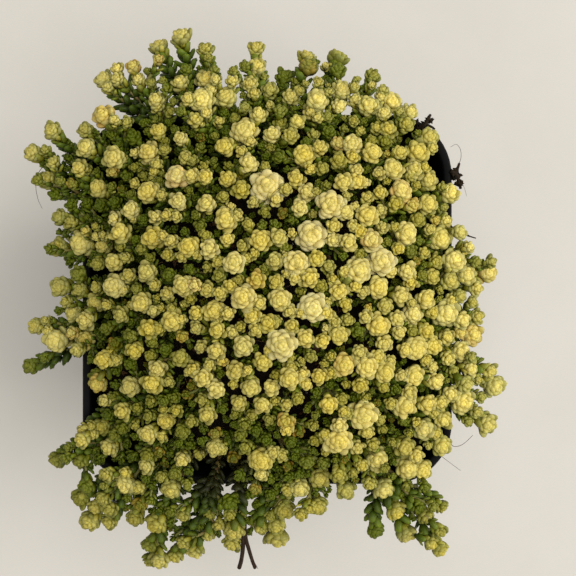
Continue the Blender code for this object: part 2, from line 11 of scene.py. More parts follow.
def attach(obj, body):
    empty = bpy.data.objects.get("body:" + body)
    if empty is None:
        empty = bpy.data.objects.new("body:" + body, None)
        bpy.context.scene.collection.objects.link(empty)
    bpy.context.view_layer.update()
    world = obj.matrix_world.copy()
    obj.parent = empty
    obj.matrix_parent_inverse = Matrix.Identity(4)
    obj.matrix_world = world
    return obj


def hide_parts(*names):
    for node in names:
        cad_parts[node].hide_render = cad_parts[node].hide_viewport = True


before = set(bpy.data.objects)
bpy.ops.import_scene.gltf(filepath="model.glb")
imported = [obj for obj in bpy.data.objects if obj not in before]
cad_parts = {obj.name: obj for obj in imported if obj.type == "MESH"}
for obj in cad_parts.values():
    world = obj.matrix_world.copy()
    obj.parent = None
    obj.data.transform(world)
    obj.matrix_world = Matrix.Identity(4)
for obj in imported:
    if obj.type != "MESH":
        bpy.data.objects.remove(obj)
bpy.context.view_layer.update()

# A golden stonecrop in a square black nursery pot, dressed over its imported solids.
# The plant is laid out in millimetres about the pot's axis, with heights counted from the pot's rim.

MM = 0.001
UP = Vector((0, 0, 1))
GOLDEN_ANGLE = math.radians(137.508)
SEED = 11

# Pot and potting mix, as in the solids
POT_HEIGHT = 120.0
RIM_HALF = 55.0
RIM_CORNER = 18.0
RIM_BAND_HEIGHT = 9.0
RIM_STEP = 2.2
SHOULDER_HEIGHT = 84.0
SHOULDER_STEP = 1.0
BASE_HALF = 38.0
BASE_CORNER = 12.0
BASE_CHAMFER = 1.5
WALL = 1.2
DRAIN_RADIUS = 3.5
DRAIN_CORNER = 27.0
DRAIN_SIDE = 31.0
SOIL_TOP = POT_HEIGHT - 9.0
FIT = 0.3

# Finer forms of the two
CORNER_SEGMENTS = 12
DRAIN_SIDES = 24
DRAIN_DEPTH = 6.0
CRISP_ANGLE = 40
SOIL_INSET = 0.6
CLOD_HEIGHT = 1.1
CRUMB_HEIGHT = 0.35
CLOD_RINGS = 44

# Grains, bark chips and fibres on the mix: how many, and the least and most of their sizes
GRAINS = 1500
GRIT_SHARE = 0.06
GRAIN_SIZES = (0.35, 1.15)
CHIPS = 90
CHIP_SIZES = ((1.4, 3), (0.7, 1.4), (0.3, 0.6))
SOIL_FIBRES = 70
FIBRE_REACHES = (2.5, 6)
FIBRE_RADII = (0.1, 0.22)

# Layout of the shoots, as in the solids
ROOT_SPACING = 4.6
SPREADING_ROUNDS = 60
SPREADING_EXTRA = 0.01
CLEARANCE = 0.8
RIM_THICK = 3.6
MOST_ARCH = 40
START_PULL = 0.4
END_PULL = 0.38
ARCH_CHECKS = 24
RAISE_STEP = 0.5
ROSETTE_SIDES = 8
MAIN_STEM_RADIUS = 1.2
SIDE_STEM_RADIUS = 0.85
FIRST_FORK = 0.22
FORK_SPREAD = 0.36
TANGENT_STEP = 0.02
TANGENT_WEIGHT = 1.5
INNER_GROWTH = 1.9
RIM_GROWTH = 1.3
LARGEST_ROSETTE = 5.4
SIBLING_SHARE = 0.52
ROSETTE_TIER = 1.0
TIER_STEP = 1.1
LOWER_TIER = 0.75
DOME_HEIGHT = 31.0
DOME_EDGE_HEIGHT = 11.0
DOME_REACH = 56.0
DOME_POWER = 2.2
DOME_TILT = 38.0
TILT_POWER = 1.5
TILT_LOST = 3.0
ROOT_SHARE = 0.8
NEAR_WALL = 46.0
ROOT_REACH = 38.5
ROOT_OUTWARD = 0.33
ROOT_INWARD = 0.7
OUTERMOST_ROOT = 46.5
INNER_HALF_X = 44.0
INNER_HALF_Y = 47.0
INNER_SPACING = 8.4
INNER_TRIES = 4000
INNER_JITTER = 1.2
INNER_RADII = (2.4, 2.7, 3.0, 3.6)
INNER_ROOTS = 20
GROUPING_ROUNDS = 12

# The tips were placed on a level sheet this far over the rim, looked at from the eye's position here.
# A tip above or below the sheet is moved along its line of sight.
SHEET_HEIGHT = 8.0
EYE = (6.2, 3.4, 330.0)

# Width in millimetres that the camera shows at the height of the rim, and the width of its sensor
VIEW_WIDTH = 171.2
SENSOR_WIDTH = 36

# Sprays that lean over the rim, clockwise from the far left. Each holds how far its lowest tip leans
# from upright, in degrees, and a tip for each shoot: x, y, height over the rim and rosette radius, in mm.
RIM_SPRAYS = (
    (55, ((-68, 43, 6, 2.6), (-62, 48, 8, 2.7), (-64, 35, 6, 3.2), (-54, 38, 12, 2.6))),
    (40, ((-53, 49.5, 8, 2.4), (-47, 53, 10, 3.4), (-52, 44.5, 12, 3.0), (-43, 41, 16, 3.0))),
    (60, ((-47.5, 64, 4, 3.2), (-42, 67, 5, 2.8), (-38, 63, 6, 3.0), (-32, 58, 10, 2.6))),
    (70, ((-31, 73, 2, 2.4), (-25, 76, 4, 2.6), (-25, 63, 9, 2.4))),
    (60, (
        (-18, 72.5, 4, 2.3), (-19, 65, 8, 2.6), (-18, 58.5, 13, 3.6), (-12, 60, 12, 3.0),
        (-19, 52, 15, 2.4),
    )),
    (60, ((-3, 73, 2, 2.3), (-2.5, 67.5, 5, 2.6), (-5, 62, 9, 2.2))),
    (50, ((1, 62, 8, 2.4), (5, 66, 3, 2.5), (8, 60, 10, 2.4))),
    (80, ((12, 71.5, 1, 2.7), (20.5, 70, 0, 2.9))),
    (45, ((22, 62, 9, 2.8), (15, 58, 13, 3.6))),
    (55, ((31, 65, 3, 2.0), (36, 60, 7, 3.3), (29.5, 57, 11, 2.4))),
    (45, ((42, 54, 7, 2.9), (36, 51, 12, 2.8))),
    (40, ((47, 47.5, 7, 2.9), (44, 41.5, 11, 3.2))),
    (45, ((48, 35, 11, 2.7), (53.5, 31, 8, 3.2), (46, 28.5, 13, 3.0))),
    (50, ((52, 23, 9, 2.3), (50.5, 17, 12, 3.0), (57, 14, 8, 2.4))),
    (60, ((65, 9.5, 3, 3.2), (53, 7, 11, 2.9))),
    (50, ((52, -3, 13, 3.7), (61, -4, 5, 2.2), (61, -10.5, 5, 2.9), (53, -10, 11, 2.4))),
    (55, ((57, -16, 8, 2.8), (66, -20.5, 2, 2.9), (67, -26, 1, 2.6), (56, -22, 7, 2.6))),
    (55, ((57, -29, 7, 3.3), (64.5, -36.5, 1, 2.6))),
    (40, ((51, -35, 8, 2.4), (45.5, -36.5, 12, 3.0), (50.5, -41.5, 5, 3.0))),
    (40, ((39, -42.5, 11, 2.6), (45.5, -48, 6, 3.2), (39.5, -49, 7, 2.8))),
    (75, (
        (33, -56, 5, 2.8), (31.5, -67.5, 0, 2.4), (37.5, -61, 4, 2.2), (40.5, -68, 0, 2.6),
        (45.5, -62.5, 3, 2.2), (51.5, -61, 1, 1.9), (50, -72, -2, 2.7),
    )),
    (50, ((23.5, -55, 6, 3.2), (31, -47, 11, 3.2))),
    (50, ((16, -52, 9, 2.8), (9, -54.5, 10, 3.2), (15, -60, 5, 3.2), (7, -61, 5, 2.8))),
    (70, ((4, -69, 0, 3.2), (-2, -66, 1, 2.3))),
    (65, ((-10, -66, 2, 2.8), (-10.5, -71, -2, 2.4))),
    (75, (
        (-16.5, -62, 4, 2.2), (-17.5, -68, -1, 2.4), (-21.5, -73, -3, 2.6), (-26.2, -74, -2, 2.4),
        (-24, -62.5, 4, 2.2),
    )),
    (75, ((-33.5, -77, -3, 2.7), (-34.5, -71, -1, 2.5), (-31, -65, 3, 3.2), (-28, -54, 8, 3.2))),
    (65, ((-39, -63, 1, 2.6), (-36, -55, 6, 2.6))),
    (65, ((-46, -63.5, 0, 2.4), (-52, -63.5, -1, 3.0), (-55, -57, 2, 2.6), (-42.5, -53, 7, 3.0))),
    (70, ((-61, -46, 1, 2.6), (-54.5, -46.5, 3, 2.4), (-46, -43, 9, 2.6))),
    (50, ((-54, -38.5, 6, 3.0), (-48, -35.5, 9, 2.4))),
    (60, ((-69, -20, 0, 2.4), (-67, -8, 4, 2.4), (-61, -12.5, 6, 3.4), (-53, -12, 9, 2.6))),
    (50, ((-57, -3, 7, 2.5), (-60.5, 4, 5, 2.8), (-50, 0, 10, 3.0))),
    (50, ((-60.5, 15.5, 5, 2.6), (-53.5, 15.5, 8, 3.4), (-46, 16, 12, 2.4))),
    (60, ((-60, 24, 5, 2.6), (-53, 24, 8, 2.4), (-48.5, 32, 11, 2.6))),
)

# Largest rosettes inside the rim: x, y and radius in mm. The rest are scattered between them.
INNER_HEADS = (
    (-35.3, 42.5, 3.8), (-26.3, 36, 3.8), (-17, 36.5, 2.4), (-35, 31.3, 3.3), (-26.5, 27.5, 3.0),
    (-39, 25, 3.2), (-17, 27.5, 2.8), (-7.5, 48.5, 4.0), (-8.5, 36.5, 2.7), (0.3, 33.3, 4.2),
    (10.8, 42, 3.1), (2.5, 47.5, 2.6), (19, 46, 2.8), (27, 45, 3.0), (26.6, 36.7, 3.0),
    (11, 33, 2.7), (19.4, 27.7, 3.9), (9.8, 25, 2.6), (29, 25.2, 3.3), (37.2, 39, 3.1),
    (38.5, 31, 3.2), (40.6, 19.3, 3.4), (31.5, 16, 2.8), (35, 9, 3.6), (44, 7, 2.5),
    (32.5, 0.5, 3.0), (43.5, -2.5, 2.6), (33, -8, 3.3), (42.5, -14.5, 3.7), (29.5, -18.5, 3.5),
    (43, -23.5, 3.1), (40, -31.5, 3.3), (28.5, -33, 3.6), (20.8, -39, 3.7), (18.5, -29.5, 3.0),
    (21.3, -18.8, 3.3), (6.4, -22.5, 3.1), (-7, -20, 3.3), (-1, -30, 2.6), (6, -37, 2.8),
    (-1, -46, 3.5), (12, -46, 2.4), (-15.5, -43, 3.2), (-15.5, -30, 3.0), (-18.3, -21, 3.2),
    (-27, -7, 3.2), (-21.5, 3.2, 3.5), (-35.5, -1.5, 3.3), (-43.5, 5, 3.5), (-34, 7.5, 3.0),
    (-33.2, 17.5, 3.0), (-42.5, 15, 2.8), (-24, 14.5, 3.2), (-16.5, 15.2, 3.1), (-37, -11.5, 2.8),
    (-30.5, -18, 2.6), (-39, -24, 3.0), (-30.5, -27, 3.0), (-41, -33, 2.6), (-31, -36.5, 3.3),
    (-24.5, -45, 2.6), (-35, -46.5, 2.8), (-43.5, 24, 2.4), (-45.4, -17, 3.0), (-11.3, 23.2, 2.8),
    (-1.8, 17.2, 3.2), (12.9, 18.6, 4.2), (21.5, 17, 2.6), (-9.3, 11.1, 3.2), (2.6, 12, 2.4),
    (9.6, 9.4, 3.8), (-2.3, 6, 2.8), (20.7, 2.5, 2.9), (-6.7, -0.2, 3.7), (4.3, -0.2, 3.4),
    (14, -2.5, 3.6), (-14.9, -4, 3.0), (-14, 3.8, 2.3), (1, -7.3, 2.7), (20.9, -10.8, 2.8),
    (4.3, -14, 3.6), (-6.8, -11.8, 3.1), (11.8, -11, 2.7), (-14.3, -11, 2.5),
)

# Rosettes measured in the photo: x, y and radius in its pixels, and tenths of green (below 0: creamy)
SEEN_HEADS = (
    # Top left
    (181, 37, 9, 1), (159, 47, 8.5, 2), (158, 60, 5.5, 3), (103, 79, 8.5, 1), (117, 79, 7, 1),
    (117, 69, 6.5, -3), (133, 67, 7.5, 1), (138, 79, 7, 0), (107, 87, 6, 2), (156, 100, 8, 1),
    (157, 107, 6, 2), (180, 83, 8, 1), (186, 70, 6, 9), (166, 89, 5, 8), (103, 115, 10, -2),
    (114, 120, 6, 0), (126, 122, 5.5, 3), (132, 136, 8, 9), (85, 130, 7.5, 4), (52, 131, 8.5, 3),
    (85.5, 147, 9, 1), (32, 153, 8.5, 2), (45, 150, 6, 5), (53, 163, 6.5, 3), (48, 179, 9, 3),
    (37, 180, 6, 7), (79, 168, 8, 1), (88, 170, 5, 5), (96, 172, 4.5, 8), (72, 183, 6, 8),
    (60, 181, 5, 7), (98, 188, 9, 0), (111, 187, 5.5, 6), (113, 157, 10, -2), (123, 158, 5, 1),
    (112, 171, 6, 1), (148, 151, 10, -4), (134, 152, 5.5, -2), (156, 164, 6.5, 1), (153, 171, 5, 1),
    (134, 167, 5.5, 5), (158, 130, 8.5, 1), (147, 130, 4, 7), (180, 138, 7.5, 1), (164, 149, 6.5, 3),
    (165, 141, 5, 5), (176, 175, 11.5, -7), (185, 157, 7.5, 2), (192, 160, 6, 4), (147, 191, 10.5, -1),
    (134, 183, 5.5, 1), (161, 195, 6, 2), (130, 194, 5.5, 7), (178, 201, 9.5, 0), (130, 209, 9.5, 0),
    (181, 111, 5.5, 8), (188, 99, 7, 1), (161, 173, 3.5, 5), (159, 180, 4, 6), (151, 178, 3.5, 4),
    (132, 218, 5, 1),
    # Top middle
    (205, 49, 7.5, 4), (208, 58, 5, 6), (256, 48, 8, 3), (257, 67, 8.5, 1), (245, 66, 6, 8),
    (234, 71, 5.5, 7), (215, 70, 5, 7), (306, 57, 8, 3), (309, 67, 9, 8), (337, 58, 9.5, 7),
    (338, 70, 8, 9), (207, 79, 9.5, -3), (216, 80, 6, 1), (232, 81, 6.5, 1), (226, 97, 9.5, 1),
    (202, 100, 11.5, -4), (206, 113, 6, 0), (196, 120, 7.5, 1), (219, 121, 5, 1), (211, 89, 5.5, 0),
    (250, 84, 7.5, 1), (254, 93, 6, 3), (270, 90, 8, 5), (291, 97, 8, 2), (299, 91, 6, 4),
    (284, 76, 8, 9), (318, 100, 11, -3), (311, 112, 7, 1), (318, 117, 6, 2), (327, 116, 6, 6),
    (342, 90, 9.5, 0), (339, 106, 7, 0), (329, 92, 5, 5), (280, 111, 6.5, 7), (258, 115, 8, 1),
    (235, 119, 6, 6), (244, 129, 12, -5), (250, 141, 6, 0), (255, 130, 5, 1), (272, 133, 9, 1),
    (280, 124, 6.5, 6), (291, 135, 8, 3), (297, 122, 8, 1), (314, 134, 6, 4), (329, 131, 7, 9),
    (307, 142, 6, 8), (320, 147, 8, 1), (339, 143, 8, 1), (224, 146, 10, 1), (241, 151, 6, 1),
    (249, 162, 9.5, -2), (265, 166, 6, 4), (279, 156, 7.5, 8), (304, 154, 11, -2), (310, 168, 6.5, 1),
    (322, 168, 7, 4), (339, 160, 8.5, 3), (267, 185, 15, -9), (276, 199, 7, -3), (296, 178, 9, 0),
    (286, 189, 7, 1), (307, 192, 9, -1), (327, 185, 5, 5), (344, 182, 9, 0), (205, 176, 8, -1),
    (191, 175, 8.5, 0), (227, 179, 8.5, 0), (241, 189, 8.5, 1), (223, 196, 6.5, 4), (253, 202, 6, 1),
    (206, 203, 9.5, 1), (265, 212, 6, 4), (283, 213, 5.5, 7), (300, 207, 8.5, 0), (331, 204, 12.5, -8),
    (231, 206, 4.5, 1), (204, 166, 5, 3), (316, 192, 5, 2), (200, 137, 5, 12),
    # Top right
    (373, 76, 7, 7), (354, 87, 6, 4), (356, 100, 7, 2), (369, 105, 9, 1), (383, 90, 6, 4),
    (381, 97, 6, 1), (391, 102, 10, -2), (384, 113, 7, 1), (410, 112, 8, 1), (406, 124, 8, 4),
    (400, 111, 5, 5), (388, 129, 8, 1), (377, 128, 6, 2), (385, 141, 7, 6), (372, 140, 6, 4),
    (353, 143, 10, -2), (353, 156, 7, 0), (373, 152, 9.5, 0), (400, 151, 7.5, 1), (429, 138, 9, 2),
    (418, 152, 10.5, 0), (432, 148, 6, 1), (394, 168, 10.5, 0), (415, 169, 9, 1), (425, 167, 6, 1),
    (411, 176, 7, 3), (379, 173, 6, 1), (357, 170, 7, 0), (358, 181, 8.5, -2), (366, 183, 5, 0),
    (429, 180, 9, 1), (417, 185, 5, 3), (402, 190, 11, -2), (380, 192, 7.5, 1), (450, 193, 9, 1),
    (443, 187, 5, 5), (367, 197, 6.5, 2), (347, 195, 5, 3), (396, 203, 7.5, 2), (413, 205, 8, 1),
    (428, 204, 10, -2), (444, 208, 5, 5), (381, 210, 7, 2), (368, 215, 10.5, -2), (346, 212, 9, 0),
    (355, 206, 5, 1),
    # Middle left
    (60, 217, 8, 5), (71, 222, 6.5, 5), (81, 243, 11.5, -3), (85, 231, 5, 1), (95, 226, 5, 3),
    (95, 236, 5, 0), (103, 245, 8, 0), (103, 235, 5, 1), (58, 247, 8.5, 4), (49, 249, 5, 8),
    (113, 218, 7.5, 0), (119, 232, 10.5, -1), (155, 216, 7.5, 0), (166, 215, 6.5, 0), (176, 216, 6, 1),
    (152, 237, 10.5, -2), (163, 236, 5.5, 0), (171, 241, 7.5, 0), (181, 256, 6, 1), (167, 255, 6.5, 2),
    (140, 249, 5.5, 4), (149, 257, 6, 5), (113, 262, 9.5, 0), (125, 258, 6, 2), (97, 264, 7.5, 4),
    (120, 247, 5.5, 4), (128, 275, 7.5, 1), (146, 272, 10, 1), (154, 285, 6.5, 1), (169, 275, 7, 8),
    (167, 293, 7, 1), (183, 286, 10.5, -1), (194, 285, 7, 0), (113, 286, 11.5, -2), (123, 290, 6, 1),
    (95, 287, 6.5, 2), (80, 290, 7.5, 5), (60, 287, 9.5, 3), (78, 275, 8, 8), (136, 289, 6.5, 5),
    (96, 303, 9, 1), (106, 305, 6, 1), (141, 303, 10, -1), (153, 311, 6.5, 0), (131, 305, 5, 1),
    (157, 298, 4, 3), (73, 313, 8.5, 2), (85, 320, 8.5, 1), (66, 302, 6.5, 5), (120, 315, 8, 2),
    (105, 328, 7, 7), (36, 326, 8.5, 2), (45, 320, 5, 4), (56, 341, 12, -2), (48, 331, 6, 1),
    (72, 333, 6.5, 2), (86, 340, 9, 1), (77, 350, 7, 2), (103, 360, 9.5, 0), (116, 360, 6, 1),
    (110, 352, 5, 1), (134, 351, 9, 1), (130, 336, 6.5, 6), (114, 344, 7, 9), (148, 329, 9.5, 1),
    (158, 329, 7, 2), (152, 342, 6.5, 5), (172, 321, 10.5, -2), (181, 319, 6, -3), (172, 309, 6, 2),
    (161, 308, 5, 2), (182, 337, 6.5, 3), (150, 356, 6.5, 4), (157, 369, 9, 0), (180, 358, 9, 3),
    (30, 366, 8, 8), (44, 358, 5, 9), (130, 364, 6.5, 9), (188, 372, 5.5, 1),
    # Middle
    (226, 219, 11, -1), (238, 215, 6, 1), (248, 224, 6.5, 3), (262, 225, 5.5, 7), (275, 224, 6, 8),
    (200, 226, 6.5, 7), (205, 235, 6.5, 4), (227, 239, 7.5, 0), (209, 248, 9.5, 0), (188, 246, 10.5, -1),
    (196, 254, 6, 1), (242, 246, 7, 2), (234, 262, 11, -3), (247, 258, 5.5, 1), (218, 262, 6.5, 1),
    (207, 267, 5.5, 4), (219, 275, 7, 4), (189, 269, 6, 10), (260, 240, 10, -1), (254, 253, 5.5, 1),
    (279, 237, 9, 1), (285, 247, 6, 6), (311, 235, 14.5, -8), (292, 233, 5, 0), (334, 226, 7.5, 1),
    (334, 240, 8, 0), (349, 242, 9, 0), (317, 259, 8.5, 1), (329, 266, 7, 3), (275, 261, 9, 1),
    (297, 263, 12, -6), (295, 278, 7, -2), (286, 256, 5, 0), (264, 269, 6, 6), (257, 280, 9, 1),
    (276, 282, 8, 1), (286, 274, 5, 1), (310, 278, 9.5, 0), (321, 286, 7, 3), (333, 279, 5.5, 2),
    (346, 271, 7, 0), (339, 291, 9.5, 0), (207, 290, 8, 1), (220, 293, 7.5, 1), (230, 286, 7.5, 1),
    (239, 280, 5.5, 2), (243, 297, 12, -5), (260, 303, 7.5, 0), (280, 300, 11.5, -4), (290, 311, 7.5, 1),
    (252, 316, 8.5, 0), (214, 311, 10.5, -1), (228, 313, 7, 0), (196, 313, 7.5, 0), (196, 328, 7.5, 1),
    (217, 330, 8.5, 1), (232, 333, 7, 1), (240, 327, 6, 2), (256, 330, 7.5, 1), (268, 323, 9.5, 1),
    (278, 321, 5.5, 3), (292, 326, 7.5, 1), (306, 338, 9.5, 0), (313, 308, 13, -7), (301, 313, 6, 0),
    (327, 313, 7.5, -1), (328, 302, 5, 1), (335, 322, 6.5, 2), (339, 335, 10, 0), (323, 341, 7.5, 0),
    (326, 328, 4.5, 1), (346, 304, 7, 1), (348, 320, 6.5, 3), (243, 346, 10, 0), (216, 351, 9.5, 0),
    (201, 347, 6.5, 2), (282, 345, 13.5, -5), (268, 351, 6, 1), (263, 362, 9, 0), (311, 357, 7, 4),
    (222, 361, 6, 2), (209, 365, 6.5, 1), (193, 370, 7.5, 1), (203, 378, 9.5, -2), (236, 371, 9.5, 0),
    (248, 370, 6, 1), (291, 367, 7, 2), (290, 379, 10, -1), (303, 374, 7, 0), (306, 384, 7.5, 0),
    (319, 377, 8.5, 0), (331, 373, 6, 1), (345, 365, 11, -2), (276, 376, 6, 3), (324, 364, 4.5, 3),
    (331, 356, 5, 3), (302, 361, 5, 3), (291, 358, 5, 3), (217, 322, 5, 2), (190, 299, 6, 3),
    (282, 361, 4.5, 8), (316, 322, 5, 9), (255, 349, 4.5, 8), (184, 304, 4, 3),
    # Middle right
    (353, 226, 6.5, 1), (360, 231, 7, 0), (383, 227, 6.5, 2), (372, 240, 10, -1), (407, 233, 11.5, -3),
    (395, 227, 6, 2), (399, 249, 6.5, 1), (419, 219, 7.5, 4), (430, 229, 6.5, 2), (440, 239, 11, -1),
    (445, 221, 7, 1), (436, 220, 5.5, 3), (459, 232, 8, 3), (411, 251, 7, 7), (419, 240, 5.5, 7),
    (416, 261, 5.5, 6), (437, 261, 7, 3), (454, 261, 10.5, -1), (462, 251, 8, -1), (469, 247, 6, 1),
    (382, 261, 13.5, -8), (391, 271, 7.5, -1), (360, 255, 6, 4), (359, 270, 12, -3), (408, 271, 8.5, 0),
    (411, 282, 7, 1), (433, 276, 8, 2), (423, 275, 6, 6), (450, 281, 9, 2), (466, 275, 9, 1),
    (487, 272, 10.5, 1), (476, 262, 6, 8), (491, 262, 6, 6), (476, 288, 7.5, 2), (379, 288, 11, -3),
    (356, 286, 7, 0), (363, 292, 6, 1), (402, 296, 9, 1), (427, 299, 9.5, -1), (412, 303, 6, 1),
    (386, 306, 8, 2), (414, 314, 9.5, 0), (460, 296, 7, 4), (472, 303, 6.5, 5), (447, 314, 11.5, -4),
    (452, 301, 7, 1), (433, 312, 7, 1), (462, 320, 8.5, 1), (477, 317, 7.5, 4), (366, 317, 7.5, 1),
    (380, 326, 11, -2), (398, 319, 8, 0), (400, 332, 7.5, 1), (413, 331, 6.5, 4), (427, 331, 8.5, 0),
    (447, 337, 8, 1), (472, 334, 10.5, 1), (460, 332, 7, 1), (358, 331, 7, 8), (385, 343, 8.5, 0),
    (360, 353, 8, 1), (378, 357, 8, 1), (391, 361, 6.5, 2), (368, 367, 11, -3), (386, 373, 10, -1),
    (417, 349, 11.5, -4), (406, 350, 8, -2), (434, 346, 9, 0), (461, 351, 9.5, -1), (448, 358, 7, 1),
    (427, 360, 6.5, 1), (433, 367, 6, 1), (415, 376, 10.5, -1), (402, 376, 6.5, 1), (437, 381, 9, 0),
    (453, 371, 6.5, 6), (470, 369, 8, 1), (490, 371, 7.5, 3), (494, 386, 10.5, 2), (466, 384, 8.5, 4),
    (471, 357, 6, 6), (361, 386, 8, 1), (384, 387, 6.5, 3), (368, 308, 4.5, 2), (481, 397, 6, 6),
    # Bottom left
    (97, 384, 9.5, 1), (95, 376, 7, 7), (129, 387, 9.5, 1), (152, 384, 10, 0), (169, 382, 6, 2),
    (104, 401, 7, 1), (112, 397, 5, 6), (122, 412, 9, 1), (137, 408, 5.5, 4), (150, 402, 6, 5),
    (163, 401, 6, 8), (174, 398, 5.5, 7), (148, 417, 6.5, 4), (165, 421, 10, 0), (176, 411, 7, 2),
    (163, 409, 5, 2), (147, 435, 9.5, 0), (161, 437, 6.5, 1), (135, 426, 5.5, 3), (122, 429, 7, 6),
    (102, 427, 8, 2), (83, 430, 6.5, 2), (82, 440, 8.5, 2), (93, 434, 6, 2), (92, 426, 5.5, 3),
    (56, 460, 8, 6), (66, 458, 6.5, 7), (68, 447, 5, 7), (80, 460, 8.5, 6), (109, 447, 8.5, 1),
    (113, 436, 6, 6), (146, 467, 8.5, 1), (147, 457, 8, 5), (159, 453, 5.5, 7), (182, 460, 8, 1),
    (123, 484, 11, 0), (125, 473, 6, 1), (106, 475, 7, 2), (138, 488, 7.5, 2), (171, 489, 9.5, 1),
    (162, 477, 6.5, 4), (175, 474, 7, 6), (187, 484, 6, 6), (80, 499, 8.5, 5), (86, 487, 8, 8),
    (90, 521, 10, 2), (95, 507, 8, 2), (109, 522, 8, 3), (110, 509, 8, 3), (103, 499, 7, 4),
    (135, 518, 8.5, 3), (140, 504, 7, 7), (156, 523, 10.5, 3), (183, 515, 7.5, 3), (171, 512, 5.5, 7),
    (151, 546, 8.5, 6), (150, 561, 7, 4), (159, 560, 9, 2), (175, 556, 8, 2), (183, 543, 7, 3),
    (194, 551, 8.5, 2), (104, 486, 5, 6), (127, 499, 4.5, 8), (150, 501, 5, 8),
    # Bottom middle
    (216, 390, 9.5, -1), (233, 384, 6, 1), (251, 388, 10, 0), (271, 388, 8.5, 0), (202, 400, 6.5, 3),
    (207, 416, 9.5, 1), (191, 422, 6.5, 3), (182, 432, 8, 6), (239, 403, 8, 2), (235, 414, 5.5, 5),
    (252, 416, 6.5, 4), (245, 425, 6, 6), (262, 406, 9, 1), (275, 401, 5.5, 2), (287, 405, 6.5, 2),
    (269, 420, 6, 4), (286, 422, 9, 1), (287, 430, 6.5, 0), (298, 399, 7, 3), (329, 405, 9.5, -1),
    (342, 399, 7, 4), (344, 412, 6.5, 1), (215, 434, 6, 5), (215, 449, 9.5, 1), (222, 450, 6, 2),
    (199, 455, 6, 3), (240, 436, 6.5, 6), (245, 448, 7.5, 4), (261, 461, 11.5, 0), (261, 474, 7, 1),
    (273, 453, 7, 1), (282, 456, 6.5, 2), (307, 463, 8, 8), (314, 426, 5.5, 4), (315, 416, 5, 7),
    (315, 441, 6, 3), (325, 435, 7, 1), (339, 442, 12.5, -4), (340, 426, 8, -3), (326, 452, 5.5, 3),
    (320, 478, 9, 1), (300, 489, 9, 1), (288, 490, 7, 2), (339, 474, 8, 3), (346, 490, 9.5, 2),
    (285, 510, 9, 2), (301, 514, 7, 2), (318, 506, 9, 2), (310, 508, 6.5, 3), (277, 538, 10.5, 2),
    (277, 526, 8.5, 2), (261, 528, 7.5, 3), (270, 516, 6, 4), (234, 531, 9.5, 2), (219, 525, 6.5, 2),
    (210, 515, 6, 4), (231, 503, 9, 9), (243, 513, 5, 6), (230, 515, 6.5, 4), (232, 544, 8, 2),
    (207, 535, 7.5, 2), (255, 489, 6, 6),
    # Bottom right
    (348, 414, 6.5, 2), (364, 416, 13.5, -4), (368, 433, 7.5, 1), (381, 420, 6, 4), (366, 398, 5, 4),
    (410, 393, 8, 1), (406, 407, 11, -3), (391, 404, 6.5, 2), (428, 404, 9, 1), (441, 403, 7.5, 1),
    (435, 413, 5.5, 2), (463, 402, 11, -1), (451, 394, 8, 1), (443, 420, 8.5, 1), (424, 429, 10, 0),
    (417, 423, 5.5, 1), (404, 422, 6, 8), (442, 446, 9.5, 1), (436, 434, 6.5, 2), (405, 448, 9.5, 1),
    (417, 456, 8, 1), (408, 468, 11, 0), (422, 470, 10, -2), (358, 448, 7.5, 1), (374, 445, 7, 2),
    (377, 460, 10.5, -1), (362, 466, 7, 2), (385, 469, 6, 5), (353, 473, 5.5, 4), (383, 489, 10, 1),
    (370, 484, 7, 4), (396, 511, 9, 2), (376, 530, 8.5, 9), (407, 534, 9.5, 2), (426, 516, 8, 4),
    (420, 507, 6.5, 8), (442, 507, 6.5, 5), (433, 507, 5.5, 6), (440, 531, 7.5, 4), (440, 549, 8.5, 2),
    (431, 544, 7, 2), (425, 487, 6.5, 9), (487, 424, 9.5, 2), (477, 412, 6.5, 4), (468, 421, 6, 6),
)

# The photograph: its middle, and its pixels to a millimetre at the height of the pot's rim
PHOTO_MIDDLE = 288
PHOTO_SCALE = 3.364

# Places where the leaves down the stems are old and dry, painted dark with painted shadow over them.
# Each is x, y and reach in the photo's pixels. How sharply the darkening sets in there, and the most of it.
OLD_LEAVES_IN_SHADOW = ((214, 468, 30), (238, 470, 30), (196, 462, 18))
SHADOW_WITHER_EDGE = 2.2
MOST_SHADOW_WITHERED = 0.9

# Places left bare, where the pot or deep shade shows in the photograph: x, y and reach in its pixels
BARE_SPOTS = (
    (86, 372, 11), (86, 395, 12), (90, 410, 8), (440, 160, 20), (452, 178, 14), (440, 462, 13),
    (226, 425, 8), (226, 452, 9), (208, 468, 12), (225, 470, 11), (240, 466, 9), (300, 440, 7),
    (124, 112, 8), (122, 326, 7), (92, 472, 6), (135, 442, 7),
)

# Dried root from the potting mix to where its free end starts, over the near rim
DRIED_ROOT = ((-6, -45, -16), (-6, -45, -9), (-6.1, -48.5, -1), (-6.5, -55, 2.4), (-6.6, -63, 1))
DRIED_RADIUS = 0.6

# Free end of the dried root, its fork and its rootlets: x, y and height over the rim
ROOT_END = (
    (-6.8, -67.7, 0.2), (-7.2, -71.5, -1.8), (-7.35, -74.7, -3.6), (-7.9, -78.8, -6.0), (-8.7, -82.0, -9.0),
)
ROOT_FORK = (
    (-6.5, -64.5, 0.4), (-6.7, -68.0, 0.0), (-6.4, -71.5, -1.8),
    (-5.7, -74.7, -3.6), (-4.7, -78.8, -6.0), (-3.9, -81.9, -8.6),
)
ROOTLETS = (
    (0.22, ((-6.5, -62.0, 1.2), (-8.2, -64.4, 1.0), (-9.2, -67.4, -0.6))),
    (0.14, ((-4.9, -77.6, -5.2), (-4.0, -79.6, -6.2), (-3.0, -82.0, -8.0))),
    (0.12, ((-6.7, -67.4, 0.4), (-7.3, -66.6, 0.6), (-7.9, -66.2, 0.5))),
)

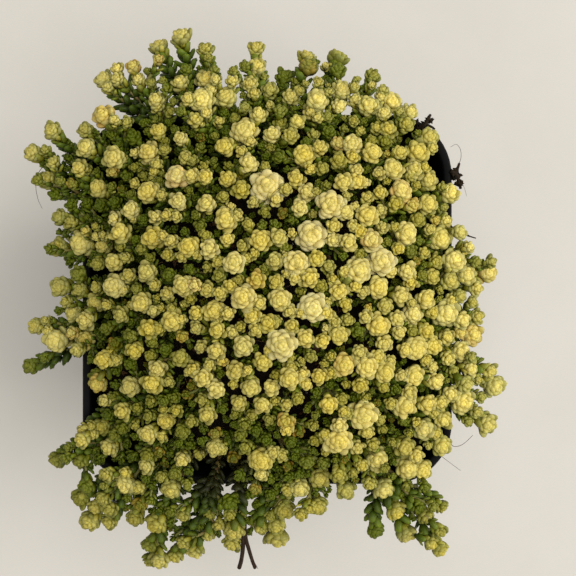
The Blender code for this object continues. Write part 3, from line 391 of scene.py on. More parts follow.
# Fine hair and peat fibres that hang on the rim: radius, and points as x, y and height over the rim
HAIRS = (
    (0.12, (
        (50.2, -39.6, -0.6), (53.4, -41.6, 0.6), (55.6, -43.8, -1.2),
        (58.6, -43.4, -2.6), (61.6, -40.6, -2.4),
    )),
    (0.09, ((49.0, -44.0, -0.8), (52.0, -46.8, -1.6), (55.6, -49.6, -2.6), (58.0, -51.4, -3.4))),
    (0.09, (
        (55.9, 38.5, -0.6), (57.6, 41.6, -0.8), (57.7, 44.6, -1.4),
        (56.4, 46.2, -1.0), (54.6, 45.4, -0.8),
    )),
    (0.07, ((57.4, 36.0, -2.0), (59.0, 33.6, -3.0), (59.9, 31.0, -3.8))),
    (0.10, (
        (-65.6, 39.4, 4.0), (-67.8, 36.4, 2.6), (-68.4, 33.0, 1.4), (-67.9, 29.6, 0.6), (-66.8, 27.0, 0.2),
    )),
)
PEAT_FIBRES = (
    (0.75, (
        (44.2, 50.6, -0.6), (46.6, 51.6, 0.8), (47.6, 53.2, 0.5),
        (48.2, 54.4, 0.0), (48.6, 54.9, -0.3),
    )),
    (0.55, ((47.2, 51.8, 0.8), (48.8, 51.2, 0.5), (49.8, 50.6, 0.1))),
    (0.75, ((54.4, 38.2, 0.7), (56.2, 37.0, 0.0), (57.2, 35.2, -1.4), (57.9, 33.2, -2.6))),
    (0.65, ((54.9, 36.8, 0.4), (56.3, 38.2, -0.2), (57.3, 40.6, -1.2))),
    (0.35, ((53.4, 22.4, 0.5), (56.2, 20.6, 0.6), (59.2, 19.2, -0.8), (62.3, 18.3, -1.9))),
    (0.55, ((56.4, 20.6, 0.4), (58.2, 19.7, -0.3), (60.2, 18.9, -1.2))),
)

# Clumps of peat on the rim: x, y, height over the rim, reach and number of crumbs
PEAT_CLUMPS = (
    (45.8, 51.0, 0.4, 1.4, 34), (48.0, 53.2, 0.5, 0.9, 16), (56.0, 36.9, -0.4, 1.3, 40),
    (57.2, 34.8, -1.6, 0.9, 16), (48.8, 49.0, 0.6, 0.9, 8), (57.6, 20.0, 0.2, 0.7, 8),
)

# How much wider a head's leaves are set than it measures, to end up as wide as it shows
HEAD_SWELL = 1.28
RIM_SWELL = 1.38

# Pixels within which a stem of the solids takes a head of the photo, and how much a large head is favoured
CLAIM_REACH = 12
SIZE_FAVOUR = 0.35

# Depth of a rosette's middle below its top, how far an inner one's top lies outward of its middle (both in
# radii), and the share of its end's shift that a stem's curve takes before the end
CROWN_SINK = 0.55
INNER_SHIFT = 0.3
SHIFT_SHARE = 0.6

# Stems that take none, and those in bare places: how far they sink, share of their size, tenths of green
HIDDEN_SHOOT = (1.5, 0.6, 9)
# Past ten, tenths of green stand for painted deep shade.
BARE_SHOOT = (4, 0.45, 18)

# How much heads turn up from their stems: over the rim, inside it or hanging, and on side stems.
# Sprays hang from this tilt in degrees on.
FACING_UP = 0.75
FACING_OUT = 0.2
SIDE_FACING = 0.6
HANGING_TILT = 70

# Heads that ride over the stems of others: how near those are, by how much they pass, and the most lift
CROSSING_REACH = 2.6
CROSSING_RISE = 1.4
END_LIFT = 1.6
SIDE_LIFT = 4

# How far leaves reach down the different stems, and how far apart they grow there
RIM_LEAVES = (60, 0.53)
INNER_LEAVES = (18, 0.62)
RIM_SIDE_LEAVES = (14, 0.6)
SEEN_SIDE_LEAVES = (9, 0.6)
LOW_SIDE_LEAVES = (7.5, 0.8)

# Other heads of the photo sink below the crown by their size, from this radius in pixels, and by their green
LARGE_HEAD = 10
SMALL_SINK = 0.3
GREEN_SINK = 0.12

# How near the rim's outline a head counts as on the edge. Nearer still it stands over the ends nearest it.
EDGE_BAND = 6
OVER_RIM_BAND = 3
NEAREST_ENDS = 3
OVER_ENDS = (0.3, 2.6)

# Steps along a stem, those that others cross over the rim, and those at which side stems may start
PATH_STEPS = 20
CROSSING_STEPS = range(8, 18)
START_STEPS = range(4, 19)

# Side stems: their usual length, thickness and directions, and how far below the head they had best start
SIDE_STEM_LENGTH = 9
SIDE_STEM_THICK = 0.5
SPLAY = 0.06
RISE_WEIGHT = 0.6
START_DROP = 4

# A stem whose end lies this far below a head counts as this much further away
LOW_END_DROP = 6
LOW_END_COST = 3

# Rounds of low green heads between the others: least and most radius, depth below the crown, greenness
# Greenness past one stands for painted deep shade.
FILLER_ROUNDS = ((1.5, 2.4, 2.6, 0.65), (1.1, 2.2, 5.0, 1.1), (0.9, 2.2, 8.0, 1.35))

# Places tried in a round, half the field they lie in, how close heads stand, the shares of the depth that
# they sink, inside and on the edge, and tenths of green added and taken away as painted shade and light
FILLER_TRIES = 9000
FILLER_HALF_X = 66
FILLER_HALF_Y = 72
CROWDING = 0.86
SINK_SHARES = (0.6, 1.4)
EDGE_SINK_SHARE = 0.35
SHADE_TONE = 6
SUN_TONE = 3.5
TONE_CHANGE = 1.5

# Near the rim's outline they grow only between others: how near it, and how near, many and even those are
FILLER_BAND = 4
NEIGHBOUR_REACH = 7
FEWEST_NEIGHBOURS = 5
MOST_ONE_SIDED = 0.36

# Leaves of a head by its least radius in mm. Sunken green buds have fewer.
LEAF_COUNTS = ((4.1, 29), (3.4, 25), (2.7, 20), (2.1, 16), (0, 13))
BROAD_LEAF_RADIUS = 3.4
SUNKEN_GREEN = 1.2
SUNKEN_RADIUS = 2.3
SUNKEN_LEAVES = 10

# Form of a head in degrees and in radii: its middle leaf, and what is gained or lost out to the last one
MIDDLE_TILT = 2
OPENING = 50
CREAM_OPENING = 14
OPENING_POWER = 1.7
MIDDLE_LENGTH = 0.48
LENGTH_GAIN = 0.70
CREAM_LENGTH_LOSS = 0.10
MIDDLE_WIDTH = 0.46
WIDTH_GAIN = 0.34
MIDDLE_THICKNESS = 0.80
THICKNESS_LOSS = 0.28
MIDDLE_DEPTH = 0.50
DEPTH_GAIN = 0.80
MIDDLE_OUTWARD = 0.05
OUTWARD_GAIN = 0.10
MIDDLE_CURL = 0.04
CURL_GAIN = 0.20
HEAD_CUP = 0.40

# How much chance there is in a head: its opening and its leaves' tilts in degrees, their form and lightness
OPENING_CHANGE = 3
TILT_CHANGE = 4
FORM_CHANGE = 0.07
LIGHT_CHANGE = 0.06

# Colour of a head: how its green fades as it ripens, and the light and shade painted on it
# in the sun, at the edge and below
RIPE_POWER = 2.1
# Painted light: heads are painted paler and lighter on the lit side and at the plant's edge.
LIT_PALES = 0.2
EDGE_LIGHT_PALES = 0.8
LIT_GAIN = 0.03
EDGE_LIGHT_GAIN = 0.18
# Painted shade darkens heads whose greenness passes one, which sit deep between others.
DEEP_SHADE_LOSS = 0.35
# Painted shade darkens the outer leaves of each head, less so on creamy ones.
OUTER_SHADE_LOSS = 0.38
CREAM_KEEPS = 0.18
BLUSH = 0.6
BLUSH_CHANCE = 0.06
MOST_GREEN = 1.8
GREEN_CHANGE = 0.04
CREAM_CHANGE = 0.08

# Greenness of the outer leaves of heads in different places, and the painted shade that adds to it
RIM_GREEN = 0.75
INNER_GREEN = 0.12
EDGE_GREEN = 0.7
SIDE_GREEN = 0.25
LOW_GREEN = 0.5
SHADE_GREEN = 0.45

# Stems, and the leaves down them, in millimetres, degrees and radii of the head
STEM_RINGS = 7
STEM_SIDES = 5
STEM_STOP = 0.75
STEM_TOP_THICK = 0.5
MAIN_THICK = 0.95
FORK_THICK = 0.7
HEAD_DEPTH = 1.25
LOWEST_LEAF = 2.5
LEAF_STRETCH = 0.02
LEAF_TILT = 44
LEAF_TILT_GAIN = 16
LEAF_TAPER = 0.22
LEAF_BASE_LENGTH = 1.5
LEAF_LENGTH_SHARE = 0.78
LEAF_LENGTHS = (2.4, 4.5)
LEAF_WIDTH = 0.62
RIM_LEAF_WIDTH = 0.70
LEAF_THICKNESS = 0.55
LEAF_CURL = 0.2
LEAF_CUP = 0.2
LEAF_LIFT = 0.2
LEAF_START = 0.35
TILT_LENGTH = 6
YOUNG_LENGTH = 3
TOP_LEAF_SHARE = 0.72
TOP_LEAF_GAIN = 0.28
LEAF_TILT_CHANGE = 6
LEAF_LENGTH_CHANGE = 0.08
LEAF_WIDTH_CHANGE = 0.06
LEAF_LIGHT_CHANGE = 0.09
RIM_GAP = 0.4
WALL_GAP = 0.3
INSIDE_SHARE = 0.85
TURN_CHANGE = 0.12

# A stem's leaves turn green over the first length below the head, and old over the second, from its start.
# Old leaves get painted shade, more on the side away from the light and less on the lit side.
GREENING_LENGTH = 3.2
AGE_SHADE_START = 3.5
AGE_SHADE_LENGTH = 8
SHADE_DARKENS = 0.45
SUN_LIGHTENS = 0.5

# Colours along a leaf: the root's fades out over the first share, the tip's comes in from the second on
LEAF_ROOT_SHARE = 0.55
LEAF_TIP_SHARE = 0.5
MARGIN_TINT = 0.35

# The light comes from the right and a little from the far side. Heads at the plant's edge get painted light:
# how far in from the rim's outline, the y from which it grows, over which length, and its least share.
SHADE_REACH = 45
SHADE_SLANT = 0.4
LIGHT_EDGE = 9
NEAR_SIDE = -75
NEAR_FADE = 40
NEAR_LEAST = 0.35

# Lamps and floor, in metres, watts and radians
CEILING_PLACE = (0.3, 0.0, 1.4)
CEILING_SIZE = 1.1
CEILING_POWER = 12.5
WINDOW_TOWARDS = (-2.1, -0.18, -0.8)
WINDOW_STRENGTH = 2.0
WINDOW_SOFTNESS = 0.58
LAMP_COLOUR = (1, 0.98, 0.95)
LAMP_AIM = (0, 0, 0.1)
SKY_COLOUR = (1.0, 0.985, 0.96)
SKY_STRENGTH = 0.45
FLOOR_HALF = 12.0
FLOOR_DROP = 0.0003


def ink(red, green, blue):
    """Colour given as it looks on a screen, 0 to 255, as linear light."""
    share = np.array((red, green, blue)) / 255
    return np.where(share <= 0.04045, share / 12.92, ((share + 0.055) / 1.055) ** 2.4)


CORE_INK = ink(209, 180, 40)
BODY_INK = ink(175, 157, 32)
CREAM_INK = ink(194, 181, 132)
TIP_INK = ink(214, 201, 107)
PALE_INK = ink(222, 214, 162)
# Painted shade at the roots of the leaves, where they meet in creases.
CREASE_SHADE_INK = ink(93, 83, 9)
FRESH_INK = ink(70, 83, 2)
FRESH_TIP_INK = ink(101, 111, 14)
LEAF_INK = ink(62, 79, 10)
LEAF_TIP_INK = ink(99, 115, 30)
# Painted deep shade, for sunk heads and low stem leaves.
DEEP_SHADE_INK = ink(26, 37, 6)
# Old dry leaves under painted shadow.
WITHERED_SHADOW_INK = ink(40, 40, 18)
ORANGE_INK = ink(206, 142, 50)
STEM_INK = ink(116, 122, 60)
OLD_STEM_INK = ink(84, 70, 44)
PINK_STEM_INK = ink(126, 94, 62)
PEAT_INK = ink(33, 25, 17)
DARK_PEAT_INK = ink(18, 14, 10)
BARK_INK = ink(92, 62, 40)
CRUMB_INK = ink(44, 34, 18)
ROOT_INK = ink(46, 34, 24)
STRAW_INK = ink(150, 122, 82)
GRIT_INK = ink(150, 146, 138)
HAIR_INK = ink(70, 62, 56)
FIBRE_INK = ink(34, 26, 16)
FLOOR_INK = ink(207, 203, 194)
PALE_FLOOR_INK = ink(212, 208, 200)

# Stem of the solids: its spray's number, curve, lean of its end, radius of its head, thickness, spray's tilt
Stem = namedtuple("Stem", "spray curve lean radius thick tilt")

# Shoot to grow: also the way its head faces, its head's look, and how far down and apart its leaves are
Shoot = namedtuple("Shoot", "spray curve facing radius look thick leafy spacing")


def spread(x, y):
    """Distance from the pot's axis, measured so that a rounded square has one value all round."""
    return (abs(x) ** 3 + abs(y) ** 3) ** (1 / 3)


def dome_height(x, y):
    """Height of the crown's surface over the rim."""
    share = min(1.0, spread(x, y) / DOME_REACH)
    return DOME_HEIGHT - (DOME_HEIGHT - DOME_EDGE_HEIGHT) * share**DOME_POWER


def along_sight(x, y, height):
    """Moves a spot on the level sheet along its line of sight to another height over the rim."""
    share = (EYE[2] - height) / (EYE[2] - SHEET_HEIGHT)
    return EYE[0] + (x - EYE[0]) * share, EYE[1] + (y - EYE[1]) * share


def root_of(tips):
    """Where a spray's stem leaves the potting mix. Low sprays root near the wall, under higher ones."""
    x, y, height = (sum(tip[k] for tip in tips) / len(tips) for k in range(3))
    reach = max(spread(x, y), 1e-6)
    root_reach = ROOT_SHARE * reach
    if reach > NEAR_WALL:
        root_reach = ROOT_REACH + ROOT_OUTWARD * (reach - NEAR_WALL) - ROOT_INWARD * height
    root_reach = min(root_reach, OUTERMOST_ROOT)
    return x * root_reach / reach, y * root_reach / reach


def spread_roots(roots):
    """Moves the stems' roots apart, so that the potting mix keeps a wall between their holes."""
    roots = [Vector(root) for root in roots]
    for _ in range(SPREADING_ROUNDS):
        for i, a in enumerate(roots):
            for b in roots[i + 1 :]:
                gap = b - a
                short = ROOT_SPACING - gap.length
                if short > 0:
                    step = gap.normalized() * (short / 2 + SPREADING_EXTRA)
                    b += step
                    a -= step
    return roots


def rim_sprays():
    """Sprays that lean over the rim, with their tips moved along their lines of sight."""
    return [
        (tilt, tuple((*along_sight(x, y, height), height, radius) for x, y, height, radius in tips))
        for tilt, tips in RIM_SPRAYS
    ]


def middle_of(tips):
    """Mean x and y of some tips."""
    return sum(tip[0] for tip in tips) / len(tips), sum(tip[1] for tip in tips) / len(tips)


def inner_sprays():
    """Sprays inside the rim: the largest tips, then more scattered between, each on the nearest stem."""
    draw = random.Random(SEED)
    rim_tips = [tip for _, tips in rim_sprays() for tip in tips]
    tips = []
    for x, y, radius in INNER_HEADS:
        height = dome_height(x, y) + draw.uniform(-INNER_JITTER, INNER_JITTER)
        tips.append((*along_sight(x, y, height), height, radius))
    for _ in range(INNER_TRIES):
        x = draw.uniform(-INNER_HALF_X, INNER_HALF_X)
        y = draw.uniform(-INNER_HALF_Y, INNER_HALF_Y)
        height = dome_height(x, y) + draw.uniform(-INNER_JITTER, INNER_JITTER)
        radius = draw.choice(INNER_RADII)
        apart = min(math.dist((x, y), tip[:2]) for tip in rim_tips + tips)
        if apart > INNER_SPACING:
            tips.append((x, y, height, radius))
    centres = [tips[i * len(tips) // INNER_ROOTS][:2] for i in range(INNER_ROOTS)]
    for _ in range(GROUPING_ROUNDS):
        groups = [[] for _ in centres]
        for tip in tips:
            nearest = min(range(len(centres)), key=lambda i: math.dist(centres[i], tip[:2]))
            groups[nearest].append(tip)
        centres = [middle_of(group) if group else centre for group, centre in zip(groups, centres)]
    return [(None, tuple(group)) for group in groups if group]


def lean_of(tip, tilt, lowest):
    """Unit vector along a shoot's tip. Inside the rim it leans out with the dome."""
    x, y, height = tip[:3]
    if tilt is None:
        tilt = DOME_TILT * min(1.0, spread(x, y) / DOME_REACH) ** TILT_POWER
    else:
        tilt -= TILT_LOST * (height - lowest)
    outward = Vector((x, y, 0)).normalized()
    angle = math.radians(tilt)
    return outward * math.sin(angle) + UP * math.cos(angle)


def bezier(points, t):
    """Point on a cubic curve, or a row of them where t is a column of numbers."""
    a, b, c, d = points
    s = 1 - t
    return a * s**3 + b * 3 * s * s * t + c * 3 * s * t * t + d * t**3


def outside_rim(x, y):
    """Distance outside the rim's outline, negative inside it."""
    flat = RIM_HALF - RIM_CORNER
    over_x = abs(x) - flat
    over_y = abs(y) - flat
    return math.hypot(max(over_x, 0), max(over_y, 0)) + min(max(over_x, over_y), 0) - RIM_CORNER


def clears_pot(point, radius):
    """Whether a ball about the point stays off the pot's wall."""
    outside = outside_rim(point.x, point.y)
    room = radius + CLEARANCE
    return outside > room or outside < -RIM_THICK - room or point.z > POT_HEIGHT + room


def stem_curve(start, rise, tip, lean, radius):
    """Cubic curve from start, along rise, to the tip, along its lean, arched enough to clear the rim."""
    end = Vector((tip[0], tip[1], POT_HEIGHT + tip[2]))
    length = (end - start).length
    first = start + rise * START_PULL * length
    second = end - lean * END_PULL * length
    for arch in range(MOST_ARCH):
        curve = (start, first + UP * arch, second + UP * arch, end)
        if all(clears_pot(bezier(curve, t / ARCH_CHECKS), radius) for t in range(ARCH_CHECKS + 1)):
            break
    return curve


def ring_round(centre, along, radius, sides):
    """Ring of points round a stem."""
    twist = UP.rotation_difference(along)
    angles = [i * math.tau / sides for i in range(sides)]
    return [centre + twist @ Vector((math.cos(a) * radius, math.sin(a) * radius, 0)) for a in angles]


def rosette_sizes(sprays):
    """Rosette radius for each tip: larger than life, but clear of every other spray's."""
    known = [(s, Vector(tip[:3])) for s, (_, tips) in enumerate(sprays) for tip in tips]
    sizes = []
    for s, (tilt, tips) in enumerate(sprays):
        for tip in tips:
            here = Vector(tip[:3])
            room = min((here - other).length for k, other in known if k != s)
            own = [(here - other).length for k, other in known if k == s and other != here]
            beside = SIBLING_SHARE * min(own, default=math.inf)
            growth = INNER_GROWTH if tilt is None else RIM_GROWTH
            sizes.append(min(LARGEST_ROSETTE, growth * tip[3], room / 2 - FIT, beside))
    return sizes


def raised_clear(tip, lean, size):
    """The tip, raised until its rosette is clear of the pot's rim."""
    x, y, height = tip[:3]
    for _ in range(MOST_ARCH):
        end = Vector((x, y, POT_HEIGHT + height))
        points = ring_round(end - lean * ROSETTE_TIER * size, lean, size, ROSETTE_SIDES)
        below = end - lean * (ROSETTE_TIER + TIER_STEP) * size
        points += ring_round(below, lean, LOWER_TIER * size, ROSETTE_SIDES)
        if all(clears_pot(point, 0) for point in points):
            break
        height += RAISE_STEP
    return (x, y, height)


def spray_stems(number, tilt, tips, sizes, root):
    """Stems of one spray, as in the solids: the one to its middle tip, and the others that fork off it."""
    lowest = min(tip[2] for tip in tips)
    leans = [lean_of(tip, tilt, lowest) for tip in tips]
    raised = [raised_clear(*shoot_tip) for shoot_tip in zip(tips, leans, sizes)]
    start = Vector((*root, SOIL_TOP))
    centre = Vector((sum(t[0] for t in raised), sum(t[1] for t in raised))) / len(raised)
    order = sorted(range(len(raised)), key=lambda i: (Vector(raised[i][:2]) - centre).length)
    middle = order[0]
    main_curve = stem_curve(start, UP, raised[middle], leans[middle], MAIN_STEM_RADIUS)
    made = [Stem(number, main_curve, leans[middle], tips[middle][3], MAIN_THICK, tilt)]
    for place, i in enumerate(order[1:]):
        fork = FIRST_FORK + FORK_SPREAD * place / max(1, len(order) - 1)
        origin = bezier(main_curve, fork)
        tangent = (bezier(main_curve, fork + TANGENT_STEP) - origin).normalized()
        end = Vector((raised[i][0], raised[i][1], POT_HEIGHT + raised[i][2]))
        rise = (tangent * TANGENT_WEIGHT + (end - origin).normalized()).normalized()
        curve = stem_curve(origin, rise, raised[i], leans[i], SIDE_STEM_RADIUS)
        made.append(Stem(number, curve, leans[i], tips[i][3], FORK_THICK, tilt))
    return made


def photo_scale(height):
    """Pixels of the photo to a millimetre, at a height over the pot's rim."""
    return PHOTO_SCALE * EYE[2] / (EYE[2] - height)


def in_photo(point):
    """Spot of the photo where a point shows."""
    scale = photo_scale(point[2] - POT_HEIGHT)
    return PHOTO_MIDDLE + scale * (point[0] - EYE[0]), PHOTO_MIDDLE - scale * (point[1] - EYE[1])


def from_photo(spot_x, spot_y, height):
    """Where a spot of the photo lies, for a known height over the rim."""
    scale = photo_scale(height)
    return EYE[0] + (spot_x - PHOTO_MIDDLE) / scale, EYE[1] - (spot_y - PHOTO_MIDDLE) / scale


def is_bare(spot):
    """Whether a spot of the photo shows no rosettes, but the dark below."""
    return any(math.dist(spot, bare[:2]) < bare[2] for bare in BARE_SPOTS)


def withered_and_shaded(point):
    """How far a stem leaf is painted dry and in shadow, by where it shows in the photo."""
    spot = in_photo(point)
    edge = SHADOW_WITHER_EDGE
    return max(min(1.0, edge - edge * math.dist(spot, (x, y)) / reach) for x, y, reach in OLD_LEAVES_IN_SHADOW)


def shady(x, y):
    """How much of the light the shoots at a spot miss, on the side away from the window."""
    return float(np.clip((-x - SHADE_SLANT * y) / SHADE_REACH, 0, 1))


def edge_light(x, y):
    """How much painted light a head gets at the plant's edge, less so on the near side."""
    outward = np.clip(1 + outside_rim(x, y) / LIGHT_EDGE, 0, 1)
    return float(outward * np.clip((y - NEAR_SIDE) / NEAR_FADE, NEAR_LEAST, 1))


def clears_wall(point):
    """Whether a point is off the pot's rim and wall, and over the potting mix."""
    outside = outside_rim(point[0], point[1])
    in_pot = outside < -RIM_THICK - WALL_GAP and point[2] > SOIL_TOP
    return outside > RIM_GAP or point[2] > POT_HEIGHT + RIM_GAP or in_pot


def mix(a, b, share):
    """Blend of two colours, or of arrays of them."""
    share = np.asarray(share, dtype=float)
    if share.ndim:
        share = share[:, None]
    return a * (1 - share) + b * share


def ring_faces(rings, sides):
    """Triangles that close the first of some rings of points and join each ring to the next."""
    faces = [(0, k + 1, k) for k in range(1, sides - 1)]
    for ring in range(rings - 1):
        for k in range(sides):
            a = ring * sides + k
            b = ring * sides + (k + 1) % sides
            faces += [(a, b, a + sides), (b, b + sides, a + sides)]
    return faces


def tube_faces(rings, sides):
    """Triangles of a tube of rings, closed at both ends."""
    top = (rings - 1) * sides
    return ring_faces(rings, sides) + [(top, top + k, top + k + 1) for k in range(1, sides - 1)]


def leaf_shape(stations, sides):
    """Leaf as rings of points and a tip. A station is a share of length, half width and half thickness."""
    angles = [math.tau * k / sides for k in range(sides)]
    along = [share for share, _, _ in stations for _ in angles] + [1.0]
    across = [wide * math.cos(angle) for _, wide, _ in stations for angle in angles] + [0.0]
    over = [thick * math.sin(angle) for _, _, thick in stations for angle in angles] + [0.0]
    last = (len(stations) - 1) * sides
    faces = ring_faces(len(stations), sides)
    faces += [(last + k, last + (k + 1) % sides, len(along) - 1) for k in range(sides)]
    return np.array(along), np.array(across), np.array(over), np.array(faces)


BROAD_STATIONS = ((0.0, 0.42, 0.55), (0.36, 0.92, 0.96), (0.72, 0.96, 0.94), (0.93, 0.56, 0.56))
BROAD_LEAF = leaf_shape(BROAD_STATIONS, 6)
SMALL_LEAF = leaf_shape(BROAD_STATIONS, 5)
STEM_LEAF = leaf_shape(((0.0, 0.45, 0.6), (0.4, 1.0, 1.0), (0.84, 0.78, 0.78)), 5)


class Growth:
    """Leaves and stems of one piece, gathered as arrays in millimetres."""

    def __init__(self):
        self.points = []
        self.faces = []
        self.tints = []
        self.count = 0

    def add(self, points, faces, tints):
        """Adds points, the triangles between them and a colour for each point."""
        self.points.append(points)
        self.faces.append(faces + self.count)
        self.tints.append(tints)
        self.count += len(points)

    def mesh(self, name):
        """One smooth mesh with its colours in an attribute."""
        points = np.concatenate(self.points) * MM
        faces = np.concatenate(self.faces).astype(np.int32)
        tints = np.ones((len(points), 4))
        tints[:, :3] = np.concatenate(self.tints)
        made = bpy.data.meshes.new(name)
        made.vertices.add(len(points))
        made.vertices.foreach_set("co", points.astype(np.float32).ravel())
        made.loops.add(faces.size)
        made.loops.foreach_set("vertex_index", faces.ravel())
        made.polygons.add(len(faces))
        made.polygons.foreach_set("loop_start", np.arange(0, faces.size, 3, dtype=np.int32))
        made.polygons.foreach_set("use_smooth", np.ones(len(faces), dtype=bool))
        made.update(calc_edges=True)
        layer = made.attributes.new("tint", "FLOAT_COLOR", "POINT")
        layer.data.foreach_set("color", tints.astype(np.float32).ravel())
        return made


def frames(along):
    """Two unit vectors square to each direction."""
    first = np.cross(along, np.array((0.31, 0.93, 0.2)))
    first /= np.linalg.norm(first, axis=1)[:, None]
    return first, np.cross(along, first)


def splayed(axes, turn, tilt):
    """Leaves set round axes and tilted off them: which way each lies outward, points and faces."""
    first, second = frames(axes)
    outward = first * np.cos(turn)[:, None] + second * np.sin(turn)[:, None]
    along = axes * np.cos(tilt)[:, None] + outward * np.sin(tilt)[:, None]
    normal = axes * np.sin(tilt)[:, None] - outward * np.cos(tilt)[:, None]
    return outward, along, normal


def spiral(rng, count):
    """Turn of each leaf of a spiral, with a little chance in it."""
    return np.arange(count) * GOLDEN_ANGLE + rng.uniform(0, math.tau) + rng.normal(0, TURN_CHANGE, count)


def add_leaves(growth, shape, base, along, normal, size, curl, cup, inks):
    """Fleshy leaves: size holds length, width and thickness, inks the colours at base, middle and tip."""
    share, across, over, faces = shape
    length, width, thick = size
    side = np.cross(normal, along)

    def times(vectors, factors):
        """Each vector times each of its own row of factors."""
        return vectors[:, None, :] * factors[:, :, None]

    points = base[:, None, :] + times(along, length[:, None] * share)
    points = points + times(side, width[:, None] / 2 * across)
    rise = curl[:, None] * length[:, None] * share**2 + thick[:, None] / 2 * over
    points = points + times(normal, rise + cup * width[:, None] / 2 * across**2)
    low = np.clip(1 - share / LEAF_ROOT_SHARE, 0, 1)[None, :, None]
    high = np.clip((share - LEAF_TIP_SHARE) / (1 - LEAF_TIP_SHARE), 0, 1) ** 1.3
    high = np.clip(high + MARGIN_TINT * across**2 * np.clip(share - 0.2, 0, 1), 0, 1)[None, :, None]
    root, body, tip = (colour[:, None, :] for colour in inks)
    tints = body + low * (root - body) + high * (tip - body)
    offsets = (np.arange(len(base)) * len(share))[:, None, None]
    growth.add(points.reshape(-1, 3), (faces[None] + offsets).reshape(-1, 3), tints.reshape(-1, 3))


def head_inks(rng, end, look, t):
    """Colours at root, middle and tip of a head's leaves, from its middle leaf to its outermost one."""
    green, cream, orange, rim_green = look
    hue = rng.uniform(0, 1)
    lit = shady(-end[0], -end[1])
    edge = edge_light(end[0], end[1])
    # Painted light: heads on the lit side and at the plant's edge are painted paler.
    ripe = (1 - min(green, 1)) ** (RIPE_POWER - LIT_PALES * lit - EDGE_LIGHT_PALES * edge)
    core = mix(FRESH_INK, mix(CORE_INK, TIP_INK, 0.5 * hue), ripe)
    body = mix(FRESH_INK, mix(BODY_INK, CREAM_INK, max(cream, 0.4 * hue * ripe)), ripe)
    # Painted light: tips at the plant's edge are painted paler.
    tip = mix(TIP_INK, PALE_INK, max(cream, 0.5 * hue * ripe, 0.5 * edge))
    tip = mix(FRESH_TIP_INK, tip, ripe)
    warm = orange * rng.uniform(0, 1, len(t)) * t
    fresh = np.clip(rim_green * t**1.5, 0, 1)
    # Greenness past one is painted deep shade: darker, and towards the deep shade ink.
    sunk_shade = max(green - 1, 0)
    light = rng.normal(1 - DEEP_SHADE_LOSS * sunk_shade, LIGHT_CHANGE, len(t))
    # Painted shade: outer leaves darker, less so on creamy heads.
    light = light * (1 - (OUTER_SHADE_LOSS - CREAM_KEEPS * cream) * t**1.5)
    # Painted light: lighter on the lit side and at the plant's edge.
    light = light[:, None] * (1 + LIT_GAIN * lit + EDGE_LIGHT_GAIN * edge)
    # Painted shade at the leaf roots, in the creases of ripe heads.
    roots = mix(mix(LEAF_INK, CREASE_SHADE_INK, ripe), LEAF_INK, 0.5 * t)
    middles = mix(mix(core, body, t), FRESH_INK, fresh)
    middles = mix(mix(middles, ORANGE_INK, warm), DEEP_SHADE_INK, sunk_shade)
    tips = mix(mix(core, tip, 0.3 + 0.7 * t), FRESH_TIP_INK, 0.7 * fresh)
    tips = mix(tips, ORANGE_INK, 0.7 * warm)
    return roots * light, middles * light, tips * light


def add_head(growth, rng, end, axis, radius, look):
    """Closed rosette of cupped leaves round a tight centre. Its top is at end, its widest leaves below."""
    green, cream, _, _ = look
    count = next(leaves for least, leaves in LEAF_COUNTS if radius >= least)
    if green > SUNKEN_GREEN and radius < SUNKEN_RADIUS:
        count = SUNKEN_LEAVES
    opening = OPENING + CREAM_OPENING * cream + rng.normal(0, OPENING_CHANGE)
    t = (np.arange(count) + 0.4) / count
    open_t = 1 - (1 - t) ** OPENING_POWER
    turn = spiral(rng, count)
    tilt = np.radians(MIDDLE_TILT + opening * open_t + rng.normal(0, TILT_CHANGE, count) * t**0.5)
    axes = np.repeat(np.array(axis)[None], count, axis=0)
    outward, along, normal = splayed(axes, turn, tilt)
    vary = rng.normal(1, FORM_CHANGE, (3, count))
    length = radius * (MIDDLE_LENGTH + (LENGTH_GAIN - CREAM_LENGTH_LOSS * cream) * open_t) * vary[0]
    width = radius * (MIDDLE_WIDTH + WIDTH_GAIN * open_t) * vary[1]
    thick = width * (MIDDLE_THICKNESS - THICKNESS_LOSS * t) * vary[2]
    base = np.array(end) - axes * (radius * (MIDDLE_DEPTH + DEPTH_GAIN * t))[:, None]
    base = base + outward * (radius * (MIDDLE_OUTWARD + OUTWARD_GAIN * t))[:, None]
    curl = MIDDLE_CURL + CURL_GAIN * t
    inks = head_inks(rng, end, look, t)
    shape = BROAD_LEAF if radius >= BROAD_LEAF_RADIUS else SMALL_LEAF
    add_leaves(growth, shape, base, along, normal, (length, width, thick), curl, HEAD_CUP, inks)


def curve_samples(curve, count=60):
    """Points along a cubic curve as an array, with the length up to each."""
    points = bezier([np.array(point) for point in curve], np.linspace(0, 1, count)[:, None])
    steps = np.linalg.norm(np.diff(points, axis=0), axis=1)
    return points, np.concatenate(((0,), np.cumsum(steps)))


def places_at(points, run, where):
    """Positions at given lengths along a sampled path."""
    return np.stack([np.interp(where, run, points[:, k]) for k in range(3)], axis=1)


def at_length(points, run, where):
    """Positions and directions at given lengths along a sampled path."""
    where = np.clip(where, 0.01, run[-1] - 0.01)
    along = places_at(points, run, where + 0.3) - places_at(points, run, where - 0.3)
    return places_at(points, run, where), along / np.linalg.norm(along, axis=1)[:, None]


def add_tube(growth, centres, along, radii, sides, tints):
    """Closed tube through centres, with a colour for each."""
    first, second = frames(along)
    turn = (np.arange(sides) * math.tau / sides)[None, :, None]
    spokes = first[:, None, :] * np.cos(turn) + second[:, None, :] * np.sin(turn)
    points = centres[:, None, :] + spokes * radii[:, None, None]
    colours = np.repeat(tints[:, None, :], sides, axis=1)
    growth.add(points.reshape(-1, 3), np.array(tube_faces(len(centres), sides)), colours.reshape(-1, 3))


def inside_others(points, crowns, own):
    """Whether points lie inside the rosette of another shoot."""
    apart = np.linalg.norm(points[:, None, :] - crowns[None, :, :3], axis=2) / crowns[None, :, 3]
    apart[:, own] = math.inf
    return (apart < INSIDE_SHARE).any(axis=1)


